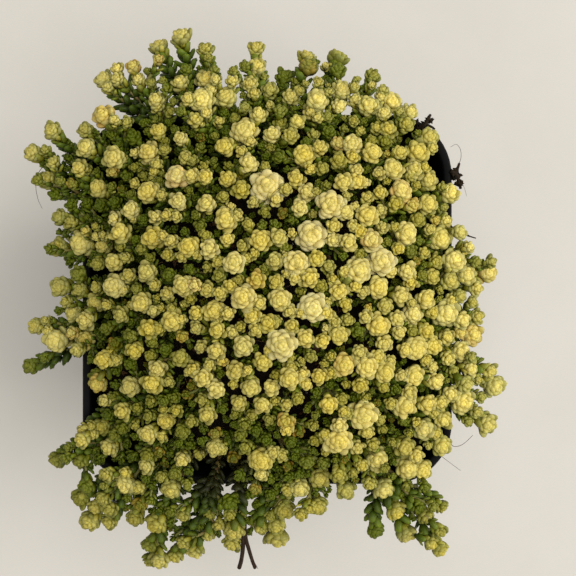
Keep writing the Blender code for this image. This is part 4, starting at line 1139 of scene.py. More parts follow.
def stem_leaf_inks(rng, spot, places, below, look):
    """Colours at root, middle and tip of a stem's leaves: green, then old in painted shade further below."""
    green, cream, _, _ = look
    x, y = spot
    age = np.clip(below / GREENING_LENGTH, 0, 1)
    # Painted shade: lower leaves darker, more away from the light and less on the lit side.
    aged_and_shaded = (below - AGE_SHADE_START) / AGE_SHADE_LENGTH + SHADE_DARKENS * shady(x, y) - SUN_LIGHTENS * shady(-x, -y)
    aged_and_shaded = np.clip(aged_and_shaded, 0, 1)
    young = mix(mix(BODY_INK, CREAM_INK, cream), FRESH_INK, min(0.35 + 0.65 * green, 1))
    body = mix(mix(young, LEAF_INK, age), DEEP_SHADE_INK, 0.9 * aged_and_shaded)
    tip = mix(mix(TIP_INK, FRESH_TIP_INK, np.clip(age + green, 0, 1)), LEAF_TIP_INK, age)
    tip = mix(tip, LEAF_INK, 0.8 * aged_and_shaded)
    # Painted shade at each leaf's root, darker still on low leaves.
    root = mix(mix(CREASE_SHADE_INK, LEAF_INK, age), DEEP_SHADE_INK, 0.4 + 0.6 * aged_and_shaded)
    # Painted shadow over old dry leaves in some spots.
    dry_and_shadow = np.clip([withered_and_shaded(place) for place in places], 0, MOST_SHADOW_WITHERED)
    light = rng.normal(1, LEAF_LIGHT_CHANGE, len(below))[:, None]
    return tuple(mix(colour, WITHERED_SHADOW_INK, dry_and_shadow) * light for colour in (root, body, tip))


def add_stem(growth, rng, shoot, points, run):
    """Stem along a sampled path, which ends inside its rosette."""
    stem_end = run[-1] - STEM_STOP * shoot.radius
    where = np.linspace(0, stem_end, STEM_RINGS)
    place, along = at_length(points, run, where)
    share = where / stem_end
    tint = mix(mix(OLD_STEM_INK, PINK_STEM_INK, rng.uniform()), STEM_INK, share**0.7)
    thick = shoot.thick + (STEM_TOP_THICK - shoot.thick) * share
    add_tube(growth, place, along, thick, STEM_SIDES, tint)


def leaf_depths(shoot, length):
    """How far below the top one each leaf of a stem grows, further apart lower down."""
    count = int(length / shoot.spacing)
    below = np.arange(count) * shoot.spacing
    below = below + LEAF_STRETCH * below**2
    return below[below < length]


def stem_leaf_sizes(rng, shoot, below):
    """Length, width and thickness of the leaves of a stem. The top ones are young, the low ones small."""
    taper = 1 - LEAF_TAPER * np.clip(below / max(shoot.leafy, 1), 0, 1)
    length = np.clip(LEAF_BASE_LENGTH + LEAF_LENGTH_SHARE * shoot.radius, *LEAF_LENGTHS)
    length = length * taper * rng.normal(1, LEAF_LENGTH_CHANGE, len(below))
    length = length * (TOP_LEAF_SHARE + TOP_LEAF_GAIN * np.clip(below / YOUNG_LENGTH, 0, 1))
    broad = RIM_LEAF_WIDTH if shoot.leafy == RIM_LEAVES[0] else LEAF_WIDTH
    width = length * broad * rng.normal(1, LEAF_WIDTH_CHANGE, len(below))
    return length, width, width * LEAF_THICKNESS


def add_stem_leaves(growth, rng, shoot, points, run, crowns, own):
    """Spiral of leaves on a stem's upper part, but for those in the pot's wall or in another rosette."""
    top = run[-1] - HEAD_DEPTH * shoot.radius
    below = leaf_depths(shoot, top - max(run[-1] - shoot.leafy, LOWEST_LEAF))
    count = len(below)
    if not count:
        return
    place, axes = at_length(points, run, top - below)
    turn = spiral(rng, count)
    spread_out = LEAF_TILT_GAIN * np.clip(below / TILT_LENGTH, 0, 1)
    tilt = np.radians(LEAF_TILT + spread_out + rng.normal(0, LEAF_TILT_CHANGE, count))
    outward, grow, normal = splayed(axes, turn, tilt)
    sizes = stem_leaf_sizes(rng, shoot, below)
    length = sizes[0]
    inks = stem_leaf_inks(rng, points[-1][:2], place, below, shoot.look)
    start = place + outward * (LEAF_START * shoot.thick)
    ends = start + grow * length[:, None] + normal * (LEAF_LIFT * length)[:, None]
    keep = np.array([clears_wall(point) for point in ends])
    keep &= np.array([clears_wall(point) for point in start])
    keep &= ~inside_others(ends, crowns, own) & ~inside_others((start + ends) / 2, crowns, own)
    if not keep.any():
        return
    inks = tuple(colour[keep] for colour in inks)
    sizes = tuple(size[keep] for size in sizes)
    curl = np.full(keep.sum(), LEAF_CURL)
    add_leaves(growth, STEM_LEAF, start[keep], grow[keep], normal[keep], sizes, curl, LEAF_CUP, inks)


def add_shoot(growth, rng, shoot, crowns, own):
    """Stem along a curve with a rosette on its end and leaves below that."""
    points, run = curve_samples(shoot.curve)
    add_stem(growth, rng, shoot, points, run)
    add_head(growth, rng, points[-1], shoot.facing, shoot.radius, shoot.look)
    add_stem_leaves(growth, rng, shoot, points, run, crowns, own)


def rim_paths(stems):
    """Points along the stems that lean over the rim, each with the number of its stem."""
    rows = []
    for i, stem in enumerate(stems):
        if stem.tilt is not None:
            rows += [(i, *bezier(stem.curve, t / PATH_STEPS)) for t in CROSSING_STEPS]
    return np.array(rows)


def lifted(paths, own, x, y, height, most):
    """Height over the rim at which a rosette rides over the other stems there, raised by at most `most`."""
    near = (np.hypot(paths[:, 1] - x, paths[:, 2] - y) < CROSSING_REACH) & (paths[:, 0] != own)
    if not near.any():
        return height
    return min(max(height, float(paths[near, 3].max()) - POT_HEIGHT + CROSSING_RISE), height + most)


def claim_heads(stems):
    """Gives the stems of the solids the rosettes of the photo that show nearest their ends."""
    pairs = []
    for i, stem in enumerate(stems):
        spot = in_photo(stem.curve[3])
        for j, (x, y, radius, _) in enumerate(SEEN_HEADS):
            far = math.dist(spot, (x, y))
            if far < CLAIM_REACH:
                pairs.append((far - SIZE_FAVOUR * radius, i, j))
    claimed = {}
    for _, i, j in sorted(pairs):
        if i not in claimed and j not in claimed.values():
            claimed[i] = j
    return claimed


def look_of(rng, tone, rim_green):
    """Greenness, creaminess, orange blush and greenness of the outer leaves of a head of a given tone."""
    green = float(np.clip(0.1 * tone + rng.normal(0, GREEN_CHANGE), 0, MOST_GREEN))
    cream = float(np.clip(-0.1 * tone + rng.normal(0, CREAM_CHANGE), 0, 1))
    return green, cream, BLUSH if rng.uniform() < BLUSH_CHANCE else 0.0, rim_green


def end_shoots(rng, stems, claimed, paths):
    """The stems with their ends moved to the heads they claimed, and the shoots that grow on them."""
    moved = []
    grown = []
    for i, stem in enumerate(stems):
        on_rim = stem.tilt is not None
        end = stem.curve[3]
        if i in claimed:
            spot_x, spot_y, radius, tone = SEEN_HEADS[claimed[i]]
            height = end.z - POT_HEIGHT
            if on_rim:
                height = lifted(paths, i, *from_photo(spot_x, spot_y, height), height, END_LIFT)
            x, y = from_photo(spot_x, spot_y, height)
            shift = Vector((x, y, POT_HEIGHT + height)) - end
            radius *= (RIM_SWELL if on_rim else HEAD_SWELL) / photo_scale(height)
        else:
            sink, share, tone = BARE_SHOOT if is_bare(in_photo(end)) else HIDDEN_SHOOT
            shift = Vector((0, 0, -sink))
            radius = share * stem.radius
        upward = FACING_UP if on_rim and stem.tilt < HANGING_TILT else FACING_OUT
        facing = (stem.lean + UP * upward).normalized()
        if i in claimed:
            outward = CROWN_SINK if on_rim else INNER_SHIFT
            shift = shift + Vector((facing.x, facing.y, 0)) * outward * radius
        curve = (*stem.curve[:2], stem.curve[2] + SHIFT_SHARE * shift, end + shift)
        moved.append(stem._replace(curve=curve, radius=radius))
        # Painted shade: outer leaves greener on the side away from the light.
        outer = RIM_GREEN if on_rim else INNER_GREEN + SHADE_GREEN * shady(curve[3].x, curve[3].y)
        look = look_of(rng, tone, outer)
        leaves = RIM_LEAVES if on_rim else INNER_LEAVES
        grown.append(Shoot(stem.spray, curve, facing, radius, look, stem.thick, *leaves))
    return moved, grown


def seen_heads(rng, ends, claimed, paths):
    """Heads of the photo that no stem of the solids claimed: x, y, height, radius and look of each."""
    heads = []
    for j, (spot_x, spot_y, radius, tone) in enumerate(SEEN_HEADS):
        if j in claimed:
            continue
        height = DOME_EDGE_HEIGHT
        for _ in range(3):
            x, y = from_photo(spot_x, spot_y, height)
            height = dome_height(x, y) - SMALL_SINK * max(LARGE_HEAD - radius, 0) - GREEN_SINK * max(tone, 0)
        if outside_rim(x, y) > -OVER_RIM_BAND:
            close = np.argsort(np.hypot(*(ends[:, :2] - (x, y)).T))[:NEAREST_ENDS]
            height = float(np.mean(ends[close, 2])) - POT_HEIGHT + rng.uniform(*OVER_ENDS)
            height = lifted(paths, -1, *from_photo(spot_x, spot_y, height), height, SIDE_LIFT)
        x, y = from_photo(spot_x, spot_y, height)
        on_edge = outside_rim(x, y) > -EDGE_BAND
        radius *= (RIM_SWELL if on_edge else HEAD_SWELL) / photo_scale(height)
        # Painted shade: outer leaves greener on the side away from the light.
        look = look_of(rng, tone, EDGE_GREEN if on_edge else SIDE_GREEN + SHADE_GREEN * shady(x, y))
        heads.append((x, y, height, radius, look))
    return heads


def low_heads(rng, taken):
    """Low green heads in the gaps between those taken, in rounds: x, y, height, radius and look of each."""
    heads = []
    for least, most, sink, greenness in FILLER_ROUNDS:
        for _ in range(FILLER_TRIES):
            x = rng.uniform(-FILLER_HALF_X, FILLER_HALF_X)
            y = rng.uniform(-FILLER_HALF_Y, FILLER_HALF_Y)
            if is_bare(in_photo((x, y, POT_HEIGHT + DOME_EDGE_HEIGHT))):
                continue
            far = np.hypot(taken[:, 0] - x, taken[:, 1] - y)
            room = (far - CROWDING * taken[:, 3]).min() / CROWDING
            if room < least:
                continue
            height = dome_height(x, y) - rng.uniform(*SINK_SHARES) * sink
            if outside_rim(x, y) > -FILLER_BAND:
                around = far < NEIGHBOUR_REACH
                sides = (taken[around, :2] - (x, y)) / far[around, None]
                if around.sum() < FEWEST_NEIGHBOURS or np.linalg.norm(sides.mean(axis=0)) > MOST_ONE_SIDED:
                    continue
                height = float(taken[around, 2].mean()) - EDGE_SINK_SHARE * sink
            radius = min(room, most)
            # Painted shade and light: greener away from the light, less green on the lit side.
            tone = 10 * greenness + SHADE_TONE * shady(x, y) - SUN_TONE * shady(-x, -y)
            look = look_of(rng, tone + rng.normal(0, TONE_CHANGE), LOW_GREEN)
            heads.append((x, y, height, radius, look))
            taken = np.concatenate((taken, ((x, y, height, radius),)))
    return heads


def side_shoot(head, seen, stems, ends):
    """Shoot that carries a head on a short side stem from the nearest stem."""
    x, y, height, radius, look = head
    end = Vector((x, y, POT_HEIGHT + height))
    far = np.linalg.norm(ends - np.array(end), axis=1) + LOW_END_COST * (ends[:, 2] < end.z - LOW_END_DROP)
    stem = stems[int(np.argmin(far))]

    def unfit(place):
        """How badly a side stem from a place would suit the head."""
        return abs((place - end).length - SIDE_STEM_LENGTH) + 2 * max(0, place.z - end.z + START_DROP)

    origin = min((bezier(stem.curve, t / PATH_STEPS) for t in START_STEPS), key=unfit)
    apart = Vector((end.x - stem.curve[3].x, end.y - stem.curve[3].y, 0)) * SPLAY
    lean = (stem.lean + apart).normalized()
    facing = (lean + UP * SIDE_FACING).normalized()
    if seen:
        outward = CROWN_SINK if outside_rim(x, y) > -EDGE_BAND else INNER_SHIFT
        end += Vector((facing.x, facing.y, 0)) * outward * radius
    rise = (UP * RISE_WEIGHT + (end - origin).normalized()).normalized()
    raised = raised_clear((end.x, end.y, height, radius), lean, radius)
    curve = stem_curve(origin, rise, raised, lean, SIDE_STEM_THICK)
    leaves = SEEN_SIDE_LEAVES if seen else LOW_SIDE_LEAVES
    if stem.tilt is not None:
        leaves = RIM_SIDE_LEAVES
    return Shoot(stem.spray, curve, facing, radius, look, SIDE_STEM_THICK, *leaves)


def side_shoots(rng, stems, claimed, paths):
    """Heads on side stems: the others seen in the photo, then low green ones."""
    ends = np.array([stem.curve[3] for stem in stems])
    seen = seen_heads(rng, ends, claimed, paths)
    taken = np.array([(*(stem.curve[3] - Vector((0, 0, POT_HEIGHT))), stem.radius) for stem in stems])
    taken = np.concatenate((taken, [head[:4] for head in seen]))
    low = low_heads(rng, taken)
    grown = [side_shoot(head, True, stems, ends) for head in seen]
    return grown + [side_shoot(head, False, stems, ends) for head in low]


def placed(name, data):
    """New object in the scene."""
    made = bpy.data.objects.new(name, data)
    bpy.context.scene.collection.objects.link(made)
    return made


def mesh_of(bm, name):
    """Mesh from an edit mesh, which is freed."""
    made = bpy.data.meshes.new(name)
    bm.to_mesh(made)
    bm.free()
    return made


def new_piece(name, data, material, slot, *nodes):
    """Shows a mesh in place of the named nodes, riding on the object's one body."""
    piece = placed(name, data)
    data.materials.append(material)
    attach(piece, "root")
    if nodes:
        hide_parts(*nodes)
    return piece


def make_sedum(roots, sprays):
    """One piece of stems and leaves for each spray of the solids."""
    rng = np.random.RandomState(SEED)
    leaf = leaf_material()
    sizes = rosette_sizes(sprays)
    stems = []
    names = []
    for number, (tilt, tips) in enumerate(sprays):
        inner = number - len(RIM_SPRAYS)
        names.append(f"rim_spray_{number + 1:02d}" if inner < 0 else f"inner_spray_{inner + 1:02d}")
        own_sizes = [sizes.pop(0) for _ in tips]
        stems += spray_stems(number, tilt, tips, own_sizes, roots[number])
    claimed = claim_heads(stems)
    paths = rim_paths(stems)
    stems, grown = end_shoots(rng, stems, claimed, paths)
    grown += side_shoots(rng, stems, set(claimed.values()), paths)
    middles = [shoot.curve[3] - shoot.facing * CROWN_SINK * shoot.radius for shoot in grown]
    crowns = np.array([(*middle, shoot.radius) for middle, shoot in zip(middles, grown)])
    growths = [Growth() for _ in names]
    for own, shoot in enumerate(grown):
        add_shoot(growths[shoot.spray], rng, shoot, crowns, own)
    for name, growth in zip(names, growths):
        new_piece(name + "_leaves", growth.mesh(name + "_leaves"), leaf, "sedum", name)


def rounded_square(half, corner, z):
    """Ring of points round a square with round corners, at height z."""
    ring = []
    for quarter in range(4):
        start = quarter * math.pi / 2
        x = (half - corner) * (1 if quarter in (0, 3) else -1)
        y = (half - corner) * (1 if quarter in (0, 1) else -1)
        for step in range(CORNER_SEGMENTS + 1):
            angle = start + step * math.pi / 2 / CORNER_SEGMENTS
            ring.append(Vector((x + corner * math.cos(angle), y + corner * math.sin(angle), z)))
    return ring


def wall_half(z):
    """Half the pot's outer width at height z, below its rim band."""
    taper = (RIM_HALF - RIM_STEP - BASE_HALF) * z / POT_HEIGHT
    return BASE_HALF + taper - (SHOULDER_STEP if z < SHOULDER_HEIGHT else 0)


def wall_corner(z):
    """Radius of the pot's corners at height z."""
    return BASE_CORNER + (RIM_CORNER - RIM_STEP - BASE_CORNER) * z / POT_HEIGHT


def shade_by_angle(data, degrees):
    """Smooth shading, with edges sharper than an angle kept crisp."""
    bm = bmesh.new()
    bm.from_mesh(data)
    for face in bm.faces:
        face.smooth = True
    for edge in bm.edges:
        edge.smooth = len(edge.link_faces) == 2 and edge.calc_face_angle() < math.radians(degrees)
    bm.to_mesh(data)
    bm.free()


def pot_sections():
    """Half width, corner radius and height of each ring of the pot, up its outside and down its inside."""
    band = POT_HEIGHT - RIM_BAND_HEIGHT
    middle = (SHOULDER_HEIGHT + band) / 2
    foot = (wall_half(0), wall_corner(0))
    shoulder = (wall_half(SHOULDER_HEIGHT), wall_corner(SHOULDER_HEIGHT))
    neck = (wall_half(band), wall_corner(band))
    rim = (RIM_HALF, RIM_CORNER)
    rows = (
        (foot, -BASE_CHAMFER, 0),
        (foot, -0.45, 0.4),
        (foot, 0, BASE_CHAMFER),
        ((wall_half(SHOULDER_HEIGHT / 2), wall_corner(SHOULDER_HEIGHT / 2)), 0, SHOULDER_HEIGHT / 2),
        ((wall_half(SHOULDER_HEIGHT - 1), shoulder[1]), 0, SHOULDER_HEIGHT - 1),
        ((wall_half(SHOULDER_HEIGHT - 1) + 0.3, shoulder[1]), 0, SHOULDER_HEIGHT - 0.5),
        ((shoulder[0] - 0.3, shoulder[1]), 0, SHOULDER_HEIGHT + 0.5),
        (shoulder, 0, SHOULDER_HEIGHT + SHOULDER_STEP),
        (((shoulder[0] + neck[0]) / 2, wall_corner(middle + 0.5)), 0, middle),
        (neck, 0, band - RIM_STEP),
        (neck, 0.5, band - 1.2),
        (rim, -0.9, band - 0.2),
        (rim, -0.5, band + 0.2),
        (rim, -0.1, POT_HEIGHT - 2.2),
        (rim, 0, POT_HEIGHT - 1),
        (rim, -0.2, POT_HEIGHT - 0.4),
        (rim, -0.6, POT_HEIGHT),
        (rim, 0.1 - RIM_STEP, POT_HEIGHT - 0.05),
        (rim, -RIM_STEP - 0.4, POT_HEIGHT - 0.4),
        (rim, -RIM_STEP - 0.6, POT_HEIGHT - 1.1),
        (neck, -WALL, band - RIM_STEP),
        (shoulder, -WALL, SHOULDER_HEIGHT + 2 * WALL),
        (foot, -WALL, 2 * WALL),
        (foot, -2 * WALL, WALL),
    )
    return [(half + outward, corner + outward, z) for (half, corner), outward, z in rows]


def drain(pot):
    """Takes the drainage holes out of the pot."""
    bm = bmesh.new()
    spots = [(x, y) for x in (-DRAIN_CORNER, DRAIN_CORNER) for y in (-DRAIN_CORNER, DRAIN_CORNER)]
    spots += [(DRAIN_SIDE, 0), (-DRAIN_SIDE, 0), (0, DRAIN_SIDE), (0, -DRAIN_SIDE)]
    radius = DRAIN_RADIUS * MM
    for x, y in spots:
        made = bmesh.ops.create_cone(
            bm, cap_ends=True, segments=DRAIN_SIDES, radius1=radius, radius2=radius, depth=DRAIN_DEPTH * MM
        )
        bmesh.ops.translate(bm, verts=made["verts"], vec=Vector((x, y, 0)) * MM)
    cutter = placed("drain_holes", mesh_of(bm, "drain_holes"))
    modifier = pot.modifiers.new("Drains", "BOOLEAN")
    modifier.operation = "DIFFERENCE"
    modifier.solver = "EXACT"
    modifier.object = cutter
    bpy.context.view_layer.update()
    graph = bpy.context.evaluated_depsgraph_get()
    drained = bpy.data.meshes.new_from_object(pot.evaluated_get(graph))
    pot.modifiers.clear()
    pot.data = drained
    bpy.data.objects.remove(cutter)


def make_pot():
    """Moulded pot with a rounded lip, a stacking shoulder and drainage holes."""
    bm = bmesh.new()
    rings = [[bm.verts.new(point * MM) for point in rounded_square(*section)] for section in pot_sections()]
    for low, high in zip(rings, rings[1:]):
        for i in range(len(low)):
            j = (i + 1) % len(low)
            bm.faces.new((low[i], low[j], high[j], high[i]))
    bm.faces.new(reversed(rings[0]))
    bm.faces.new(rings[-1])
    pot = new_piece("moulded_pot", mesh_of(bm, "pot_shell"), plastic_material(), "black_plastic", "pot")
    drain(pot)
    shade_by_angle(pot.data, CRISP_ANGLE)


def soil_lump(x, y):
    """Unevenness of the potting mix's surface."""
    return 0.7 * math.sin(0.31 * x + 0.9) * math.cos(0.27 * y) + 0.5 * math.sin(0.83 * x - 0.61 * y)


def soil_height(x, y):
    """Top of the potting mix, with its clods."""
    clods = noise.noise(Vector((x, y, 3.1)) * 0.35) + 0.6 * noise.noise(Vector((x, y, 7.7)) * 0.9)
    crumbs = noise.noise(Vector((x, y, 1.2)) * 2.4)
    return SOIL_TOP + soil_lump(x, y) + CLOD_HEIGHT * clods + CRUMB_HEIGHT * crumbs


def add_lump(growth, rng, centre, size, tint):
    """Small uneven grain: an octahedron with its corners pushed about."""
    corners = np.array(((1, 0, 0), (-1, 0, 0), (0, 1, 0), (0, -1, 0), (0, 0, 1), (0, 0, -1)), dtype=float)
    corners = corners * size + rng.normal(0, 0.22 * np.mean(size), (6, 3))
    turn = rng.uniform(0, math.tau)
    twist = np.array(((math.cos(turn), -math.sin(turn), 0), (math.sin(turn), math.cos(turn), 0), (0, 0, 1)))
    upper = ((0, 2, 4), (2, 1, 4), (1, 3, 4), (3, 0, 4))
    lower = ((2, 0, 5), (1, 2, 5), (3, 1, 5), (0, 3, 5))
    growth.add(corners @ twist.T + centre, np.array(upper + lower), np.repeat(tint[None], 6, axis=0))


def add_fibre(growth, points, radius, tint, sides=5, steps=14, taper=0.55):
    """Thin tube on a smooth curve through points in millimetres."""
    knots = np.array(points, dtype=float)
    knots = np.concatenate((2 * knots[:1] - knots[1:2], knots, 2 * knots[-1:] - knots[-2:-1]))
    path = []
    for i in range(1, len(knots) - 2):
        for t in np.linspace(0, 1, steps, endpoint=i == len(knots) - 3):
            p0, p1, p2, p3 = knots[i - 1 : i + 3]
            bend = (2 * p0 - 5 * p1 + 4 * p2 - p3) * t * t + (3 * p1 - p0 - 3 * p2 + p3) * t**3
            path.append(0.5 * (2 * p1 + (p2 - p0) * t + bend))
    path = np.array(path)
    along = np.gradient(path, axis=0)
    along /= np.linalg.norm(along, axis=1)[:, None]
    radii = radius * np.linspace(1, taper, len(path))
    add_tube(growth, path, along, radii, sides, np.repeat(tint[None], len(path), axis=0))


def over_rim(path):
    """Points given as x, y and height over the rim, with their heights over the ground instead."""
    return [(x, y, POT_HEIGHT + height) for x, y, height in path]


def soil_rings(half, corner):
    """Rings of the block of potting mix, up the pot's wall and in over its uneven top."""
    low_half = wall_half(0) - 2 * WALL - FIT
    low_corner = wall_corner(0) - 2 * WALL - FIT
    waist_half = wall_half(SHOULDER_HEIGHT - 1) - WALL - FIT
    waist_corner = wall_corner(SHOULDER_HEIGHT) - WALL - FIT
    rings = [
        rounded_square(low_half - 1, low_corner - 1, WALL + FIT),
        rounded_square(low_half, low_corner, 2.5 * WALL + FIT),
        rounded_square(waist_half, waist_corner, SHOULDER_HEIGHT),
        rounded_square(half, corner, SOIL_TOP - RIM_STEP - 0.5),
        rounded_square(half, corner, SOIL_TOP - 1.2),
    ]
    for share in np.linspace(0.985, 0.02, CLOD_RINGS):
        ring = rounded_square(half * share, corner * share, 0)
        rings.append([Vector((p.x, p.y, soil_height(p.x, p.y))) for p in ring])
    return rings


def add_grains(growth, rng, half):
    """Crumbs of peat and bark strewn over the mix, and a few of grit."""
    for _ in range(GRAINS):
        x, y = rng.uniform(-half + 2.5, half - 2.5, 2)
        if outside_rim(x, y) > -RIM_THICK - 3:
            continue
        size = rng.uniform(*GRAIN_SIZES) * np.array((1, rng.uniform(0.6, 1), rng.uniform(0.4, 0.8)))
        tint = mix(DARK_PEAT_INK, BARK_INK, rng.uniform() ** 2)
        if rng.uniform() < GRIT_SHARE:
            tint = GRIT_INK
            size = size * 0.6
        add_lump(growth, rng, np.array((x, y, soil_height(x, y) + 0.2)), size, tint)


def add_chips(growth, rng, half):
    """Flat chips of bark."""
    for _ in range(CHIPS):
        x, y = rng.uniform(-half + 5, half - 5, 2)
        if outside_rim(x, y) > -RIM_THICK - 6:
            continue
        size = np.array([rng.uniform(*sizes) for sizes in CHIP_SIZES])
        place = np.array((x, y, soil_height(x, y) + 0.5))
        add_lump(growth, rng, place, size, mix(BARK_INK, STRAW_INK, 0.25))


def add_soil_fibres(growth, rng, half):
    """Old fibres that lie on the mix."""
    for _ in range(SOIL_FIBRES):
        x, y = rng.uniform(-half + 9, half - 9, 2)
        turn = rng.uniform(0, math.tau)
        reach = rng.uniform(*FIBRE_REACHES)
        points = []
        for place in (-1, -0.3, 0.4, 1):
            px = x + reach * place * math.cos(turn) + rng.normal(0, 0.6)
            py = y + reach * place * math.sin(turn) + rng.normal(0, 0.6)
            points.append((px, py, soil_height(px, py) + rng.uniform(0.2, 1.0)))
        add_fibre(growth, points, rng.uniform(*FIBRE_RADII), mix(BARK_INK, STRAW_INK, rng.uniform()), 4, 4)


def make_soil():
    """Potting mix with clods, grains, bark chips and old fibres on its top."""
    rng = np.random.RandomState(SEED + 1)
    growth = Growth()
    half = wall_half(SOIL_TOP) - WALL - FIT - SOIL_INSET
    corner = wall_corner(SOIL_TOP) - WALL - FIT - SOIL_INSET
    rings = soil_rings(half, corner)
    points = np.array([point for ring in rings for point in ring])
    faces = np.array(tube_faces(len(rings), len(rings[0])))
    growth.add(points, faces, np.repeat(PEAT_INK[None], len(points), axis=0))
    add_grains(growth, rng, half)
    add_chips(growth, rng, half)
    add_soil_fibres(growth, rng, half)
    new_piece("filled_mix", growth.mesh("filled_mix"), mix_material(), "potting_mix", "soil")


def make_dried_root(spot, bark):
    """Dead root that hangs over the rim and forks, with rootlets."""
    growth = Growth()
    main_path = [(*spot, height) for _, _, height in DRIED_ROOT[:2]] + list(DRIED_ROOT[2:] + ROOT_END)
    add_fibre(growth, over_rim(main_path), 1.1 * DRIED_RADIUS, ROOT_INK, 8, 8, 0.98)
    add_fibre(growth, over_rim(ROOT_FORK), 1.15 * DRIED_RADIUS, ROOT_INK, 8, 8, 0.8)
    for radius, path in ROOTLETS:
        add_fibre(growth, over_rim(path), radius, ROOT_INK, 6, 8)
    new_piece("forked_root", growth.mesh("forked_root"), bark, "dried_root", "dried_root")


def make_fibres(bark):
    """Peat fibres and crumbs that hang on the rim, and a fine hair or two."""
    rng = np.random.RandomState(SEED + 2)
    growth = Growth()
    for radius, path in HAIRS:
        add_fibre(growth, over_rim(path), radius, HAIR_INK, 5, 8)
    for radius, path in PEAT_FIBRES:
        add_fibre(growth, over_rim(path), radius, FIBRE_INK, 6, 8)
    for x, y, height, reach, count in PEAT_CLUMPS:
        for _ in range(count):
            about = rng.normal(0, 0.5, 3) * (reach, reach, 0.45 * reach)
            place = np.array((x, y, POT_HEIGHT + height)) + about
            size = rng.uniform(0.35, 0.85) * np.array((1.3, 0.8, 0.6))
            add_lump(growth, rng, place, size, mix(DARK_PEAT_INK, CRUMB_INK, rng.uniform()))
    new_piece("rim_fibres", growth.mesh("rim_fibres"), bark, "dried_root")


def node_link(tree, source, output, target, socket):
    """Joins two nodes."""
    tree.links.new(source.outputs[output], target.inputs[socket])


def new_node(tree, kind, **values):
    """Node of a kind, with the values of its inputs. A name's underscores stand for spaces."""
    made = tree.nodes.new("ShaderNode" + kind)
    for name, value in values.items():
        made.inputs[name.replace("_", " ")].default_value = value
    return made


def surface(name, roughness, specular):
    """Material with a principled shader and object coordinates."""
    material = bpy.data.materials.new(name)
    material.use_nodes = True
    tree = material.node_tree
    shader = tree.nodes["Principled BSDF"]
    shader.inputs["Roughness"].default_value = roughness
    shader.inputs["Specular IOR Level"].default_value = specular
    where = tree.nodes.new("ShaderNodeTexCoord")
    return material, tree, shader, where


def noise_node(tree, where, scale, detail, rough):
    """Cloudy grain in the object's own coordinates."""
    made = new_node(tree, "TexNoise", Scale=scale, Detail=detail, Roughness=rough)
    node_link(tree, where, "Object", made, "Vector")
    return made


def ramp_node(tree, source, shader, stops):
    """Base colour that runs from one colour to another with a grain."""
    made = new_node(tree, "ValToRGB")
    for element, (place, colour) in zip(made.color_ramp.elements, stops):
        element.position = place
        element.color = (*colour, 1)
    node_link(tree, source, "Fac", made, "Fac")
    node_link(tree, made, "Color", shader, "Base Color")


def bump_node(tree, source, shader, strength, distance):
    """Relief from a grain."""
    made = new_node(tree, "Bump", Strength=strength, Distance=distance)
    node_link(tree, source, "Fac", made, "Height")
    node_link(tree, made, "Normal", shader, "Normal")


def tinted(tree, shader, grain, low, high):
    """Base colour from the mesh's own tint, lightened and darkened by a grain."""
    tint = new_node(tree, "Attribute")
    tint.attribute_name = "tint"
    shade = new_node(tree, "MapRange", From_Min=0.3, From_Max=0.7, To_Min=low, To_Max=high)
    node_link(tree, grain, "Fac", shade, "Value")
    scaled = new_node(tree, "VectorMath")
    scaled.operation = "SCALE"
    node_link(tree, tint, "Color", scaled, "Vector")
    node_link(tree, shade, "Result", scaled, "Scale")
    node_link(tree, scaled, "Vector", shader, "Base Color")


def leaf_material():
    """Fleshy leaf: its own tint with fine mottling, a satin skin and some light through it."""
    material, tree, shader, where = surface("sedum_leaf", 0.48, 0.18)
    tinted(tree, shader, noise_node(tree, where, 900, 3, 0.6), 0.88, 1.12)
    shader.inputs["Subsurface Weight"].default_value = 0.18
    shader.inputs["Subsurface Radius"].default_value = (1.0, 0.75, 0.25)
    shader.inputs["Subsurface Scale"].default_value = 0.0012
    bump_node(tree, noise_node(tree, where, 3200, 2, 0.5), shader, 0.25, 0.0002)
    return material


def plastic_material():
    """Matt black moulded plastic with a faint grain, uneven gloss and a little dust."""
    material, tree, shader, where = surface("pot_plastic", 0.5, 0.08)
    cloud = noise_node(tree, where, 38, 5, 0.6)
    ramp_node(tree, cloud, shader, ((0.35, (0.0028, 0.0026, 0.0028)), (0.75, (0.0062, 0.0058, 0.0056))))
    gloss = new_node(tree, "MapRange", To_Min=0.46, To_Max=0.70)
    node_link(tree, cloud, "Fac", gloss, "Value")
    node_link(tree, gloss, "Result", shader, "Roughness")
    bump_node(tree, noise_node(tree, where, 1800, 3, 0.6), shader, 0.18, 0.0002)
    return material


def mix_material():
    """Peaty potting mix: dark crumbs with a coarse grain."""
    material, tree, shader, where = surface("peaty_mix", 0.95, 0.2)
    crumb = noise_node(tree, where, 620, 6, 0.7)
    tinted(tree, shader, crumb, 0.35, 1.6)
    bump_node(tree, crumb, shader, 0.9, 0.0008)
    return material


def bark_material():
    """Dry dark bark with a coarse grain."""
    material, tree, shader, where = surface("dry_bark", 0.8, 0.12)
    grain = noise_node(tree, where, 1100, 4, 0.65)
    tinted(tree, shader, grain, 0.6, 1.5)
    bump_node(tree, grain, shader, 0.6, 0.0003)
    return material


def floor_material():
    """Pale warm floor, very softly clouded."""
    material, tree, shader, where = surface("pale_floor", 0.7, 0.5)
    ramp_node(tree, noise_node(tree, where, 14, 5, 0.6), shader, ((0.3, FLOOR_INK), (0.7, PALE_FLOOR_INK)))
    return material


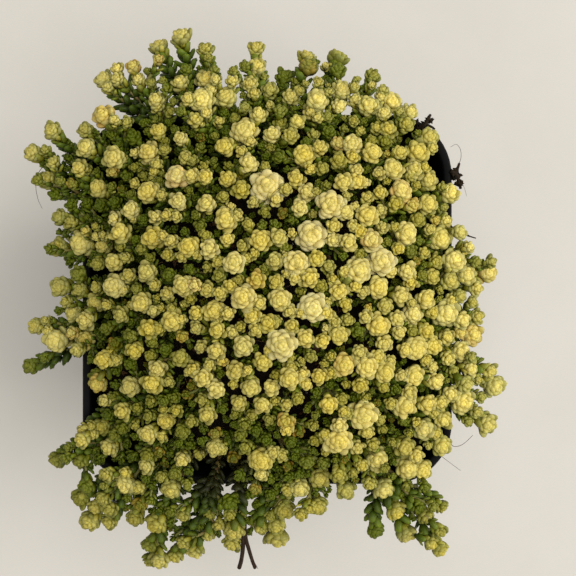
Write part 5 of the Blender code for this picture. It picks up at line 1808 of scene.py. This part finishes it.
def add_ceiling():
    """Soft square light that faces the pot."""
    lamp = bpy.data.lights.new("ceiling", "AREA")
    lamp.shape = "SQUARE"
    lamp.size = CEILING_SIZE
    lamp.energy = CEILING_POWER
    lamp.color = LAMP_COLOUR
    made = placed("ceiling", lamp)
    made.location = CEILING_PLACE
    made.rotation_euler = (Vector(LAMP_AIM) - Vector(CEILING_PLACE)).to_track_quat("-Z", "Y").to_euler()


def add_window():
    """Even light from far off to the side, as from a window, with soft shadows."""
    lamp = bpy.data.lights.new("window", "SUN")
    lamp.energy = WINDOW_STRENGTH
    lamp.angle = WINDOW_SOFTNESS
    lamp.color = LAMP_COLOUR
    made = placed("window", lamp)
    made.rotation_euler = Vector(WINDOW_TOWARDS).to_track_quat("-Z", "Y").to_euler()


def make_stage():
    """Floor, light and the camera, straight over the pot as in the photograph."""
    scene = bpy.context.scene
    bm = bmesh.new()
    bmesh.ops.create_grid(bm, x_segments=1, y_segments=1, size=FLOOR_HALF)
    floor = placed("floor", mesh_of(bm, "floor"))
    floor.location.z = -FLOOR_DROP
    floor.data.materials.append(floor_material())
    camera = placed("camera", bpy.data.cameras.new("camera"))
    camera.data.sensor_width = SENSOR_WIDTH
    camera.data.lens = SENSOR_WIDTH * EYE[2] / VIEW_WIDTH
    camera.data.clip_start = 0.01
    camera.location = (EYE[0] * MM, EYE[1] * MM, (EYE[2] + POT_HEIGHT) * MM)
    scene.camera = camera
    add_ceiling()
    add_window()
    world = bpy.data.worlds.new("soft_room")
    world.use_nodes = True
    sky = world.node_tree.nodes["Background"]
    sky.inputs["Color"].default_value = (*SKY_COLOUR, 1)
    sky.inputs["Strength"].default_value = SKY_STRENGTH
    scene.world = world
    scene.view_settings.view_transform = "Standard"


def main():
    """Builds the dressed plant and pot, and the stage."""
    sprays = rim_sprays() + inner_sprays()
    roots = spread_roots([root_of(tips) for _, tips in sprays] + [DRIED_ROOT[0][:2]])
    make_sedum(roots, sprays)
    bark = bark_material()
    make_dried_root(roots[-1], bark)
    make_fibres(bark)
    make_pot()
    make_soil()
    make_stage()


main()
